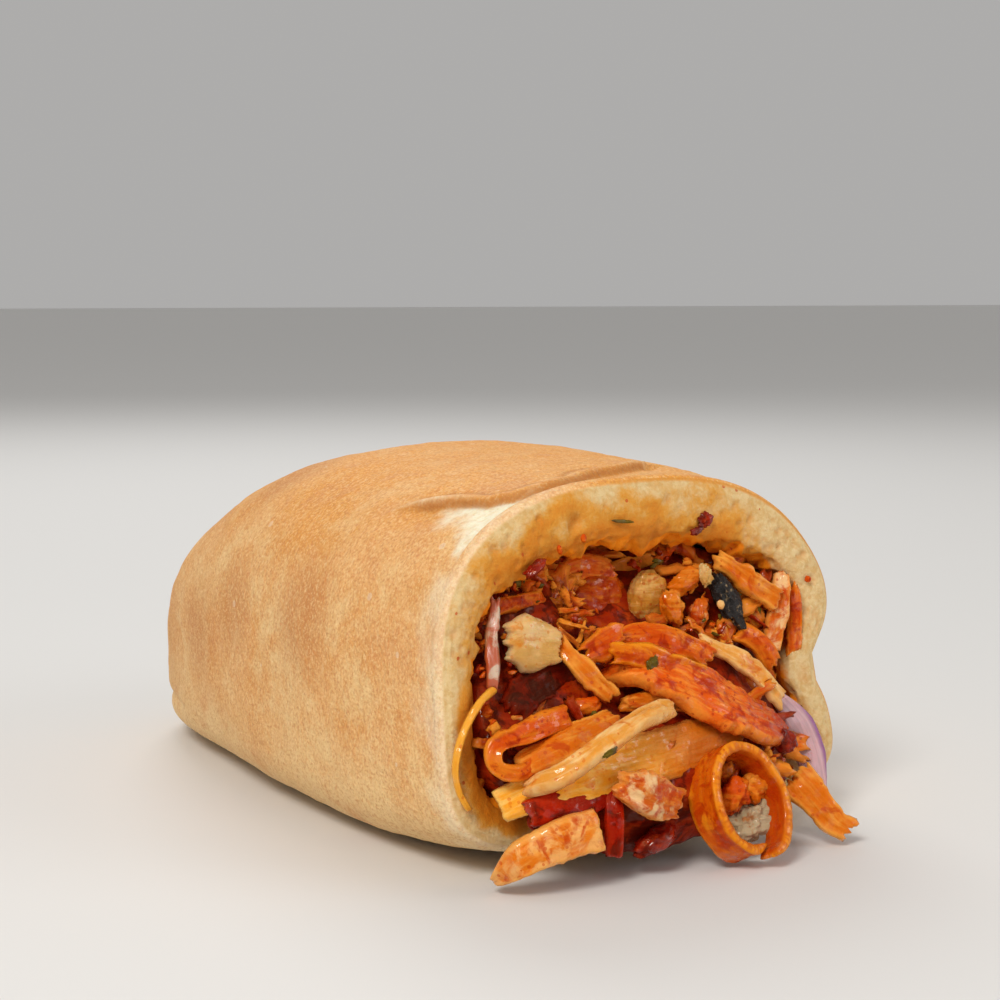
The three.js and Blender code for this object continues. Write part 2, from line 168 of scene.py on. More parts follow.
def mapped_from_front(bm):
    """Gives a lump the flat map that the finishes read, as seen from the mouth."""
    uv = bm.loops.layers.uv.new("along")
    for face in bm.faces:
        for loop in face.loops:
            loop[uv].uv = (loop.vert.co.x, loop.vert.co.z)


# ---------------------------------------------------------------- the bread
BREAD_SEGMENTS = 400
BODY_ROWS, FLAP_ROWS, POCKET_ROWS = 76, 66, 30
FLAP_ROWS_FROM = 38  # millimetres behind the cut, from where the rows lie close together
FINE_ANGLE, FINE_DRAW = math.radians(112), 0.55  # the columns lie closer together at the flap

# The rim's outline as (distance back from the cut, share of the wall's depth).
RIM = ((8, 0), (5.4, 0), (3.2, 0), (1.7, 0.02), (0.7, 0.09), (0.1, 0.2), (0, 0.34), (0.1, 0.5),
       (0.4, 0.66), (1.1, 0.8), (2.4, 0.91), (4.2, 0.97), (6.5, 1))
RIM_STEPS = 4

# The flap's edge on the crust, as (distance back from the cut, angle in degrees).
FLAP_EDGE = ((32, 133), (28, 130), (24, 128), (18, 124), (10.5, 122), (6.5, 117), (5.5, 110),
             (6.5, 103), (9, 97), (13, 90), (18, 82))
FLAP_TURN = 46  # millimetres along the crust for each radian

# The holes in the crumb: how many small ones, their sizes, and the two large ones as (angle in
# degrees, share of the wall's depth, radius, depth).
PORE_COUNT, PORE_SEED = 230, 7
PORE_SIZES = (0.3, 0.35, 0.4, 0.5, 0.5, 0.7, 0.9)
LARGE_PORES = ((106, 0.5, 1.7, 0.9), (136, 0.25, 1.0, 0.6))

# The bread keeps inside these: half its width, its closed end and its top.
BREAD_LIMITS = (54.3, 94.8, 70.9)

# Soft brown patches on the crust: place and reach.
BROWN_PATCHES = ((-54, 8, 39, 9), (-52, -27, 41, 11), (-50, 30, 30, 10), (-35, 20, 64, 12))


def crust_rows():
    """Rows as (share of the length, share of the wall's depth), closed end first."""
    rows = []
    far, near = FLAP_ROWS_FROM / LENGTH, RIM[0][0] / LENGTH
    for k in range(BODY_ROWS + 1):
        rows.append((mix(far, 1, math.cos(math.pi / 2 * k / BODY_ROWS)), 0))
    for k in range(1, FLAP_ROWS + 1):
        rows.append((mix(far, near, k / FLAP_ROWS), 0))
    for (back_a, depth_a), (back_b, depth_b) in zip(RIM, RIM[1:]):
        for k in range(1, RIM_STEPS + 1):
            t = k / RIM_STEPS
            rows.append((mix(back_a, back_b, t) / LENGTH, mix(depth_a, depth_b, t)))
    for k in range(1, POCKET_ROWS + 1):
        share = (k / POCKET_ROWS) ** 1.8
        rows.append((mix(RIM[-1][0] / LENGTH, POCKET_SHARE, share), 1))
    return rows


def flap_distance(back, degrees):
    """Distance to the flap's edge along the crust, above 0 on the mouth's side of it."""
    best, side = 1e9, 1
    here = Vector((back, math.radians(degrees) * FLAP_TURN))
    edge = [Vector((b, math.radians(a) * FLAP_TURN)) for b, a in FLAP_EDGE]
    for a, b in zip(edge, edge[1:]):
        span = b - a
        t = min(1, max(0, (here - a).dot(span) / span.length_squared))
        away = here - a - span * t
        if away.length < best:
            best = away.length
            side = 1 if span.x * away.y - span.y * away.x < 0 else -1
    return best * side


def make_pores():
    """Holes in the crumb: place on the cut face, radius and depth."""
    rng = random.Random(PORE_SEED)
    pores = [(math.radians(angle), *more) for angle, *more in LARGE_PORES]
    for _ in range(PORE_COUNT):
        size = rng.choice(PORE_SIZES)
        pores.append((rng.uniform(-0.4, 3.4), rng.uniform(0.22, 0.93), size, size * 0.55))
    return [(loaf_point(0, angle, share), r, deep) for angle, share, r, deep in pores]


def make_bread():
    rows = crust_rows()
    bm, row_of = turned_rows(rows, BREAD_SEGMENTS)
    layers = bm.verts.layers.float
    # One of these marks carries painted shade, for the crumb's holes and the crust's grooves.
    marks = [layers.new(n) for n in ("crumb", "pale", "stain", "pit_shade", "soak")]
    pores = make_pores()
    last = len(rows) - 1
    places = {}
    for v in bm.verts:
        row = v[row_of]
        s, depth = rows[row]
        angle = math.atan2(v.co.z, v.co.x)
        angle -= FINE_DRAW * math.sin(angle - FINE_ANGLE)
        angle = math.atan2(math.sin(angle), math.cos(angle))
        if row == 0:
            v.co = Vector((0, MOUTH_Y + LENGTH, END_HEIGHT))
        elif row == last:
            v.co = (loaf_point(s, 0, 1) + loaf_point(s, math.pi, 1)) / 2
        else:
            v.co = loaf_point(s, angle, depth)
        places[v] = (s, depth, angle)
    closed_up(bm)
    bm.normal_update()
    moved = []
    half_width, end, top = BREAD_LIMITS
    for v in bm.verts:
        s, depth, angle = places[v]
        if depth == 0:
            relief = crust_relief(v, s * LENGTH, math.degrees(angle))
        else:
            relief = crumb_relief(v, s * LENGTH, depth, pores)
        moved.append((v, *relief))
    for v, move, values in moved:
        v.co += move
        v.co.x = min(half_width, max(-half_width, v.co.x))
        v.co.y = min(end, v.co.y)
        v.co.z = min(top, max(0, v.co.z))
        for layer, value in zip(marks, values):
            v[layer] = value
    return finished("bread", bm, bread_finish(), "bread", "loaf")


def edge_paleness(p, back):
    """The crust pales close to the cut, most of all on the left and low down."""
    side = max(smooth(-8, -26, p.x), 0.6 * smooth(26, 8, p.z))
    return 0.4 * side * (1 - smooth(0.5, 9, back + 5 * rough(p, 6)))


def flap_relief(p, back, degrees):
    """How far the crust stands out at the flap by the mouth, how pale it is, and where its grooves
    get painted shade.
    """
    away = flap_distance(back, degrees)
    fade = 1 - smooth(24, 34, back)
    loop = bell(back - 24, 7)
    out = fade * (0.5 + 0.5 * loop) * bell(away + 1.2, 1.2)
    out -= fade * smooth(-0.5, 0.9, away) * (1 - smooth(3, 13, away))
    # Painted shade along the flap's grooves.
    groove_shade = fade * bell(away - 0.3, 0.8)
    second = fade * 0.6 * bell(away + 3.6 + 1.5 * rough(p, 7), 0.7)
    out -= 0.15 * second
    below = 130 + (17.3 - back) * 0.4 + 9 * rough(p, 6, 3) - degrees
    pale = smooth(0.1, 1.5, away + 0.7 * rough(p, 3)) * smooth(-8, 4, below)
    pale *= smooth(106, 116, degrees) * (1 - smooth(15, 24, back + 5 * rough(p, 6, 3)))
    pale = max(pale, 0.45 * loop * bell(away + 0.9, 0.7))
    return out, pale, max(groove_shade, second)


def crust_relief(v, back, degrees):
    """How far a point of the crust moves, and its marks: crumb, pale, stain, painted shade in the
    grooves, and soak.
    """
    p = v.co
    out = 0.55 * rough(p, 26) + 0.22 * rough(p + Vector((9, 0, 0)), 7, 3) - 0.2
    pale = groove_shade = 0
    if 60 < degrees < 150 and back < 48:
        raised, pale, groove_shade = flap_relief(p, back, degrees)
        out += raised
    end = smooth(38, 66, p.y)
    out += end * (0.5 * bell(p.z - 6.5, 2.5) - 0.9 * bell(p.z - 10.5, 1.4))
    out *= smooth(0, 2, p.z)
    return v.normal * out, (0, max(pale, edge_paleness(p, back)), 0, groove_shade, 0)


def crumb_relief(v, back, depth, pores):
    """The same for a point of the cut face or the pocket's wall."""
    p = v.co
    cut = smooth(0.03, 0.16, depth) * (1 - smooth(5, 9, back))
    move = v.normal * (0.3 * rough(p, 5, 3) * cut - 0.2 * cut)
    # Painted shade: how deep in a hole the point lies, for the finish to darken it.
    pit_shade = 0
    for centre, radius, deep in pores:
        gap = math.hypot(p.x - centre.x, p.z - centre.z)
        if gap < radius * 2 and back < 5:
            hole = math.exp(-((gap / radius) ** 3))
            move.y += deep * hole
            pit_shade = max(pit_shade, hole)
    inner = smooth(0.78, 0.97, depth)
    torn = rough(p, 5, 3) * inner * (1 - smooth(8, 20, back))
    towards = Vector((-p.x, 0, 32 - p.z)).normalized()
    move += towards * (torn * 2 + 0.5 * rough(p, 1.6) * inner)
    roof = smooth(44, 56, p.z) * smooth(32, 18, p.x)
    dry = 1 - 0.75 * smooth(24, 36, p.x)
    patchy = rough(p, 8, 3)
    oily = roof * smooth(-0.15, 0.85, depth + 0.45 * patchy)
    low_left = smooth(-22, -32, p.x) * (0.5 + 0.5 * smooth(40, 26, p.z))
    oily = max(oily, low_left * smooth(0.15, 0.6, depth + 0.3 * patchy))
    oily = max(oily, 0.85 * dry * smooth(0.55, 0.95, depth + 0.4 * patchy))
    soak = smooth(0.8, 1, depth + 0.25 * rough(p, 4)) * (0.6 + 0.4 * smooth(0.5, 4, back))
    return move, (cut, edge_paleness(p, back), oily, pit_shade, soak)


# ---------------------------------------------------------------- routes of strips
class Route:
    """A smooth curve through places in millimetres, walked by its share of the length."""

    def __init__(self, places):
        self.places = [Vector(p) for p in places]
        count = 24 * (len(places) - 1)
        self.samples = [self.raw(i / count) for i in range(count + 1)]
        self.reach = [0]
        for a, b in zip(self.samples, self.samples[1:]):
            self.reach.append(self.reach[-1] + (b - a).length)
        self.length = self.reach[-1]

    def raw(self, t):
        pts = self.places
        at = t * (len(pts) - 1)
        k = min(int(at), len(pts) - 2)
        f = at - k
        b, c = pts[k], pts[k + 1]
        a = pts[k - 1] if k else b * 2 - c
        d = pts[k + 2] if k + 2 < len(pts) else c * 2 - b
        return 0.5 * (2 * b + (c - a) * f + (2 * a - 5 * b + 4 * c - d) * f ** 2
                      + (3 * b - a - 3 * c + d) * f ** 3)

    def at(self, share):
        want = min(1, max(0, share)) * self.length
        k = 0
        while k < len(self.reach) - 2 and self.reach[k + 1] < want:
            k += 1
        span = self.reach[k + 1] - self.reach[k]
        return self.samples[k].lerp(self.samples[k + 1], (want - self.reach[k]) / span)

    def towards(self, share):
        return (self.at(share + 0.02) - self.at(share - 0.02)).normalized()


def spread(values, share):
    at = share * (len(values) - 1)
    k = min(int(at), len(values) - 2)
    return mix(values[k], values[k + 1], at - k)


def uneven(shift, *at):
    return noise.noise(shift + Vector(at))


def side_unevenness(shift, run, w):
    """Long waves along a strip's side, with nicks here and there."""
    nicked = smooth(-0.1, 0.4, uneven(shift, run / 3.1, math.copysign(5, w), 6))
    return (1.3 * uneven(shift, run / 4.6, math.copysign(3, w), 0)
            + nicked * uneven(shift, run / 1.1, math.copysign(7, w), 2))


def end_unevenness(shift, across, u):
    """How far the torn end of a strip reaches past its route."""
    return (uneven(shift, across / 2.4, math.copysign(5, u - 0.5), 4)
            + 0.5 * uneven(shift, across / 0.9, u * 3, 1))


def fibre_height(shift, run, across, top):
    return (uneven(shift, run / 9, across * 1.1, top * 4)
            + 0.6 * uneven(shift, run / 4, across * 2.1, top * 9))


def shaving(name, nodes, route, widths, thickness, finish, slot, face=(-0.35, -0.9, 0.2),
            axis=None, cup=0.08, ragged=0.18, torn=1.0, ridges=0.2, step=0.33, seed=0,
            hem=22):
    """A cut strip with ragged sides, torn ends and ridges along its fibres.

    The mark edge is 1 along its sides and ends (paler cut edge and painted rim highlight), and
    inside is 1 on a curl's inner face (painted shade).
    """
    route = Route(route)
    hint = Vector(face).normalized()
    bm = bmesh.new()
    long_steps = max(6, round(route.length / step))
    wide_steps = max(4, round(max(widths) / step))
    bmesh.ops.create_grid(bm, x_segments=long_steps, y_segments=wide_steps, size=1)
    bmesh.ops.duplicate(bm, geom=bm.verts[:] + bm.edges[:] + bm.faces[:])
    half = len(bm.verts) // 2
    along = bm.loops.layers.uv.new("along")
    rim = bm.verts.layers.float.new("edge")
    inside = bm.verts.layers.float.new("inside")
    stations, flat = {}, {}
    shift = Vector((seed * 17.3, seed * 5.1, seed * 9.7))
    for i, v in enumerate(bm.verts):
        u, w = (v.co.x + 1) / 2, v.co.y
        key = round(u, 5)
        if key not in stations:
            centre, tangent = route.at(u), route.towards(u)
            normal = axis.cross(tangent) if axis else hint.copy()
            normal = (normal - tangent * normal.dot(tangent)).normalized()
            stations[key] = (centre, tangent, normal, tangent.cross(normal), spread(widths, u))
        centre, tangent, normal, side, width = stations[key]
        run, across = u * route.length, w * width / 2
        end = abs(u - 0.5) * 2
        outwards = (1 if u > 0.5 else -1) * smooth(0.6, 1, end)
        reach = across * (1 + ragged * side_unevenness(shift, run, w) * abs(w))
        pull = torn * end_unevenness(shift, w * width, u) * outwards
        spot = centre + side * reach + tangent * pull
        spot += normal * (0.5 * uneven(shift, run / 7, w * 0.8, 8) - cup * width * w * w)
        top = 1 if i < half else -1
        plump = (1 - abs(w) ** hem) ** 0.5 * (1 - end ** 14) ** 0.5
        plump *= 1 + 0.25 * uneven(shift, run / 4, w * 1.4, 3)
        fibre = fibre_height(shift, run, across, top)
        grain = noise.noise(spot * 0.9) + 0.4 * noise.noise(spot * 1.6)
        lift = (thickness / 2 + ridges * fibre + 0.12 * grain) * plump
        spot += normal * (top * lift)
        v.co = spot
        from_side = (1 - abs(w)) * width / 2
        from_end = (1 - end) * route.length / 2
        # Paler cut edge, partly a painted rim highlight: the finish brightens the strip here.
        v[rim] = 1 - smooth(0.2, 1.1 + 0.4 * fibre, min(from_side, from_end))
        # Painted shade: the finish darkens a curl's inner face.
        v[inside] = 1 if axis and top == 1 else 0
        flat[v] = (run, across)
    for sheet_face in bm.faces:
        for loop in sheet_face.loops:
            loop[along].uv = flat[loop.vert]
    closed_up(bm, 1e-4)
    return finished(name, bm, finish, slot, *nodes)


def morsel(name, nodes, at, radii, along, finish, slot, seed=0, fineness=4, lumps=0.22):
    """A torn chunk. along is the direction of its first radius."""
    bm = bmesh.new()
    bmesh.ops.create_icosphere(bm, subdivisions=fineness, radius=1)
    turn = Vector((1, 0, 0)).rotation_difference(Vector(along))
    shift = Vector((seed * 3.7, seed * 11.9, seed * 7.3))
    for v in bm.verts:
        p = v.co.copy()
        bump = 1
        for share, closeness in ((1, 1.4), (0.7, 3.3), (0.3, 8)):
            bump += lumps * share * noise.noise(shift + p * closeness)
        v.co = turn @ Vector([c * r * bump for c, r in zip(p, radii)]) + Vector(at)
    mapped_from_front(bm)
    bm.normal_update()
    return finished(name, bm, finish, slot, *nodes)


# ---------------------------------------------------------------- the filling's face
HEAP_MIDDLE = 34
LOW_FACE, HIGH_FACE = (8, -6), (58, 17)
BARE_WEIGHT, DRAW_REACH, EDGE_SINK = 0.12, 5, 4
CORE_SEGMENTS, FACE_ROWS = 150, 44
CORE_WALL = (0.87, 0.83, 0.76, 0.65, 0.5, 0.35, 0.2)  # shares of the length
WALL_GAP = 0.6
SPILL_MIDDLE, SPILL_RADII = (-3, -79.5, 12.5), (30, 5.6, 9.3)
LOWEST_SHRED, CLEAR_OF_PIECES = 5, 1.1


def heap_depth(x, z):
    """How far behind the mouth's plane the filling lies, close behind the pieces on it."""
    height = min(HIGH_FACE[0], max(LOW_FACE[0], z))
    share = (height - LOW_FACE[0]) / (HIGH_FACE[0] - LOW_FACE[0])
    weight = BARE_WEIGHT
    total = mix(LOW_FACE[1], HIGH_FACE[1], share) * weight
    for px, py, pz, half in FACE_POINTS:
        near = math.exp(-((px - x) ** 2 + (pz - z) ** 2) / (2 * DRAW_REACH ** 2))
        total += near * (py + half - slanted_y(0, px, pz))
        weight += near
    return total / weight


def face_point(angle, share, clearance=0.5):
    """A point of the filling's face, from its middle at share 0 to the wall at share 1."""
    edge = loaf_point(0, angle, 1, clearance)
    x = edge.x * share
    z = mix(HEAP_MIDDLE, edge.z, share)
    sink = EDGE_SINK * share ** 6
    return Vector((x, slanted_y(0, x, z) + heap_depth(x, z) + sink, z))


def make_core(finish):
    """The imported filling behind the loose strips, out to the pocket's wall."""
    shares = [1 - k / FACE_ROWS for k in range(FACE_ROWS + 1)]
    rows = [("end", 0.88)] + [("wall", s) for s in CORE_WALL] + [("face", s) for s in shares]
    bm, row_of = turned_rows(rows, CORE_SEGMENTS)
    for v in bm.verts:
        kind, value = rows[v[row_of]]
        angle = math.atan2(v.co.z, v.co.x)
        if kind == "end":
            right = loaf_point(value, 0, 1, WALL_GAP)
            v.co = (right + loaf_point(value, math.pi, 1, WALL_GAP)) / 2
        elif kind == "wall":
            v.co = loaf_point(value, angle, 1, WALL_GAP)
        else:
            p = face_point(angle, value, WALL_GAP)
            lump = 1.5 * rough(p, 5.5, 3) + 0.4 * rough(p, 1.6, 2)
            v.co = p + Vector((0, 1.3 - lump, 0))
    closed_up(bm)
    mapped_from_front(bm)
    return finished("filling_core", bm, finish, "sauced_filling", "filling_heap")


def make_spill(finish):
    """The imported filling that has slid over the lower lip."""
    bm = bmesh.new()
    bmesh.ops.create_icosphere(bm, subdivisions=5, radius=1)
    for v in bm.verts:
        spot = Vector([m + c * r for m, c, r in zip(SPILL_MIDDLE, v.co, SPILL_RADII)])
        spot.y += v.co.x * SPILL_RADII[0] * MOUTH_SKEW
        v.co = spot + v.normal * (1.1 * rough(spot, 5, 3) - 0.3)
    mapped_from_front(bm)
    bm.normal_update()
    return finished("spilled_core", bm, finish, "sauced_filling")


def gap_to_pieces(x, z):
    """Distance, seen from the mouth, to the nearest strip or chunk, and below 0 on one."""
    return min(math.hypot(px - x, pz - z) - reach for px, pz, reach in FOOTPRINTS)


def resting_place(rng, region, crowd, arc=(0, math.tau)):
    """A place on the filling's face, mostly between the larger pieces."""
    while True:
        angle = rng.uniform(*arc)
        spot = face_point(angle, mix(region[0], region[1], math.sqrt(rng.random())))
        if spot.z < LOWEST_SHRED:
            continue
        if gap_to_pieces(spot.x, spot.z) > CLEAR_OF_PIECES or rng.random() < crowd:
            return spot


def shred_shape(rng, sizes, tints):
    """The measures and directions of one torn shred, drawn at random."""
    length, width, thick = [rng.uniform(*pair) for pair in sizes]
    lean = math.radians(rng.gauss(8, 42))
    along = Vector((math.cos(lean), rng.uniform(-0.5, 0.3), math.sin(lean))).normalized()
    normal = Vector((rng.uniform(-0.8, 0.5), -1, rng.uniform(-0.3, 1.0)))
    normal = (normal - along * normal.dot(along)).normalized()
    bend = rng.uniform(-0.3, 0.45)
    narrow = rng.uniform(0.3, 1)
    shade = rng.choice(tints)
    return length, width, thick, along, normal, bend, narrow, shade


def two_sheets(bm):
    """Two equal flat sheets of a shred, the upper one first."""
    grid = bmesh.ops.create_grid(bm, x_segments=10, y_segments=5, size=1)["verts"]
    copy = bmesh.ops.duplicate(bm, geom=list({f for v in grid for f in v.link_faces}) + grid)
    return grid, [g for g in copy["geom"] if isinstance(g, bmesh.types.BMVert)]


def scatter_shreds(name, count, seed, finish, sizes, stand_off, tints, crowd=0.03):
    """Many small torn strips that lie on the filling's face, joined into one piece."""
    rng = random.Random(seed)
    bm = bmesh.new()
    uv = bm.loops.layers.uv.new("along")
    tint = bm.verts.layers.float.new("tint")
    rim = bm.verts.layers.float.new("edge")
    for _ in range(count):
        spot = resting_place(rng, (0.03, 0.97), crowd)
        spot.y -= rng.uniform(*stand_off)
        length, width, thick, along, normal, bend, narrow, shade = shred_shape(rng, sizes, tints)
        side = along.cross(normal)
        sheets = two_sheets(bm)
        shift = Vector((rng.uniform(0, 90), rng.uniform(0, 90), 0))
        for top, sheet in zip((1, -1), sheets):
            for v in sheet:
                u, w = v.co.x, v.co.y
                ragged = 1 + 0.7 * uneven(shift, u * 2.6, math.copysign(3, w), 0)
                ragged *= mix(1, narrow, (u + 1) / 2)
                end = u * (1 + 0.3 * uneven(shift, math.copysign(9, u), w * 2, 4))
                plump = (1 - w ** 14) ** 0.5 * (1 - u ** 16) ** 0.5
                lift = bend * length * (1 - u * u) * 0.3 + 0.9 * uneven(shift, u * 1.7, w * 0.9, 7)
                lift += top * plump * thick / 2
                v[tint] = shade
                # Paler cut edge, partly a painted rim highlight, as on the larger strips.
                v[rim] = smooth(0.55, 1, max(abs(w), abs(u)))
                v.co = (spot + along * (end * length / 2) + side * (w * width / 2 * ragged)
                        + normal * lift)
        for face in {f for sheet in sheets for v in sheet for f in v.link_faces}:
            for loop in face.loops:
                gap = loop.vert.co - spot
                loop[uv].uv = (gap.dot(along) + shade * 40, gap.dot(side))
    closed_up(bm, 1e-4)
    for v in bm.verts:
        v.co.z = max(0.7, v.co.z)
    return finished(name, bm, finish, "doner_meat")


def scatter_crumbs(name, count, seed, finish, sizes, slot, tints, region=(0.05, 0.97),
                   stand_off=(0.5, 2.2), squash=1.0, crowd=0.1, arc=(0, math.tau)):
    """Many small torn crumbs or leaf flakes on the filling's face, joined into one piece."""
    rng = random.Random(seed)
    bm = bmesh.new()
    tint = bm.verts.layers.float.new("tint")
    for _ in range(count):
        spot = resting_place(rng, region, crowd, arc)
        spot.y -= rng.uniform(*stand_off)
        size = rng.uniform(*sizes)
        stretch = Vector((rng.uniform(0.8, 1.5), rng.uniform(0.5, 0.9) * squash,
                          rng.uniform(0.6, 1.1)))
        turn = Matrix.Rotation(rng.uniform(0, math.tau), 4, "Y")
        turn @= Matrix.Rotation(rng.uniform(-0.6, 0.6), 4, "X")
        shade = rng.choice(tints)
        ball = bmesh.ops.create_icosphere(bm, subdivisions=2, radius=1)["verts"]
        shift = Vector((rng.uniform(0, 90), 0, 0))
        for v in ball:
            p = v.co * (1 + 0.9 * noise.noise(shift + v.co * 1.8))
            v.co = spot + (turn @ Vector([a * b for a, b in zip(p, stretch)])) * size
            v[tint] = shade
    mapped_from_front(bm)
    bm.normal_update()
    return finished(name, bm, finish, slot)


# ---------------------------------------------------------------- shader building
def put(tree, kind, **settings):
    node = tree.nodes.new("ShaderNode" + kind)
    for key, value in settings.items():
        setattr(node, key, value)
    return node


def feed(tree, socket, value):
    if isinstance(value, bpy.types.NodeSocket):
        tree.links.new(value, socket)
    elif value is not None:
        socket.default_value = value


def lumpy(tree, where, scale, detail=3, roughness=0.55, distortion=0.0):
    node = put(tree, "TexNoise")
    feed(tree, node.inputs["Vector"], where)
    feed(tree, node.inputs["Scale"], scale)
    node.inputs["Detail"].default_value = detail
    node.inputs["Roughness"].default_value = roughness
    node.inputs["Distortion"].default_value = distortion
    return node.outputs[0]


def remap(tree, value, low, high, to_low=0.0, to_high=1.0):
    node = put(tree, "MapRange", interpolation_type="SMOOTHSTEP")
    feed(tree, node.inputs[0], value)
    for socket, number in zip(node.inputs[1:5], (low, high, to_low, to_high)):
        feed(tree, socket, number)
    return node.outputs[0]


def calc(tree, operation, a, b=None):
    node = put(tree, "Math", operation=operation)
    feed(tree, node.inputs[0], a)
    feed(tree, node.inputs[1], b)
    return node.outputs[0]


def times(tree, a, b):
    return calc(tree, "MULTIPLY", a, b)


def plus(tree, a, b):
    return calc(tree, "ADD", a, b)


def blend(tree, share, a, b):
    node = put(tree, "Mix", data_type="RGBA")
    feed(tree, node.inputs[0], share)
    feed(tree, node.inputs[6], a if isinstance(a, bpy.types.NodeSocket) else (*a, 1))
    feed(tree, node.inputs[7], b if isinstance(b, bpy.types.NodeSocket) else (*b, 1))
    return node.outputs[2]


def stretched(tree, where, scale):
    node = put(tree, "Mapping")
    feed(tree, node.inputs["Vector"], where)
    node.inputs["Scale"].default_value = scale
    return node.outputs["Vector"]


def marked(tree, name):
    return put(tree, "Attribute", attribute_name=name).outputs["Fac"]


def own_place(tree):
    """The surface's own place in millimetres."""
    place = put(tree, "TexCoord").outputs["Object"]
    return stretched(tree, place, (1000, 1000, 1000))


def new_finish(name, **plain):
    material = bpy.data.materials.new(name)
    material.use_nodes = True
    tree = material.node_tree
    shader = tree.nodes["Principled BSDF"]
    for socket, value in plain.items():
        shader.inputs[socket.replace("_", " ")].default_value = value
    return material, tree, shader


def effect(name, inputs, outputs):
    """A new node group with named sockets, and its input and output nodes."""
    group = bpy.data.node_groups.new(name, "ShaderNodeTree")
    for label, kind in inputs:
        group.interface.new_socket(label, in_out="INPUT", socket_type="NodeSocket" + kind)
    for label, kind in outputs:
        group.interface.new_socket(label, in_out="OUTPUT", socket_type="NodeSocket" + kind)
    return group, group.nodes.new("NodeGroupInput"), group.nodes.new("NodeGroupOutput")


def use(tree, group, **values):
    node = put(tree, "Group", node_tree=group)
    for key, value in values.items():
        feed(tree, node.inputs[key], value)
    return node.outputs


def height_bump(tree, shader, height, strength, distance):
    node = put(tree, "Bump")
    node.inputs["Strength"].default_value = strength
    node.inputs["Distance"].default_value = distance
    feed(tree, node.inputs["Height"], height)
    tree.links.new(node.outputs[0], shader.inputs["Normal"])


# ---------------------------------------------------------------- shared effects
def make_fibre_effect():
    """Pale fibres along a strip, from its own flat map in millimetres."""
    inputs = [("Map", "Vector"), ("Fineness", "Float")]
    group, into, out = effect("fibres", inputs, [("Mask", "Float"), ("Height", "Float")])
    drawn = stretched(group, into.outputs["Map"], (0.16, 1.0, 1.0))
    broad = lumpy(group, drawn, into.outputs["Fineness"], 4, 0.6, 0.3)
    fine = lumpy(group, stretched(group, into.outputs["Map"], (0.5, 3.2, 1.0)), 1.0, 3)
    feed(group, out.inputs["Mask"], remap(group, broad, 0.44, 0.72))
    both = plus(group, broad, times(group, fine, 0.6))
    feed(group, out.inputs["Height"], both)
    return group


def make_patch_effect():
    """Uneven patches, such as of sauce: a higher amount covers more."""
    inputs = [("Place", "Vector"), ("Scale", "Float"), ("Amount", "Float")]
    group, into, out = effect("patches", inputs, [("Mask", "Float")])
    value = lumpy(group, into.outputs["Place"], into.outputs["Scale"], 5, 0.6, 0.8)
    level = calc(group, "SUBTRACT", 0.75, times(group, into.outputs["Amount"], 0.5))
    over = calc(group, "SUBTRACT", value, level)
    feed(group, out.inputs["Mask"], remap(group, over, -0.07, 0.07))
    return group


def make_fleck_effect():
    """Small scattered specks: the mask is 1 on a speck."""
    inputs = [("Place", "Vector"), ("Scale", "Float"), ("Size", "Float")]
    group, into, out = effect("flecks", inputs, [("Mask", "Float")])
    cells = put(group, "TexVoronoi")
    feed(group, cells.inputs["Vector"], into.outputs["Place"])
    feed(group, cells.inputs["Scale"], into.outputs["Scale"])
    chosen = calc(group, "GREATER_THAN", put_red(group, cells.outputs["Color"]), 0.72)
    near = calc(group, "LESS_THAN", cells.outputs["Distance"], into.outputs["Size"])
    feed(group, out.inputs["Mask"], times(group, chosen, near))
    return group


def put_red(tree, colour):
    node = put(tree, "SeparateColor")
    tree.links.new(colour, node.inputs[0])
    return node.outputs[0]


fibres = make_fibre_effect()
patches = make_patch_effect()
flecks = make_fleck_effect()


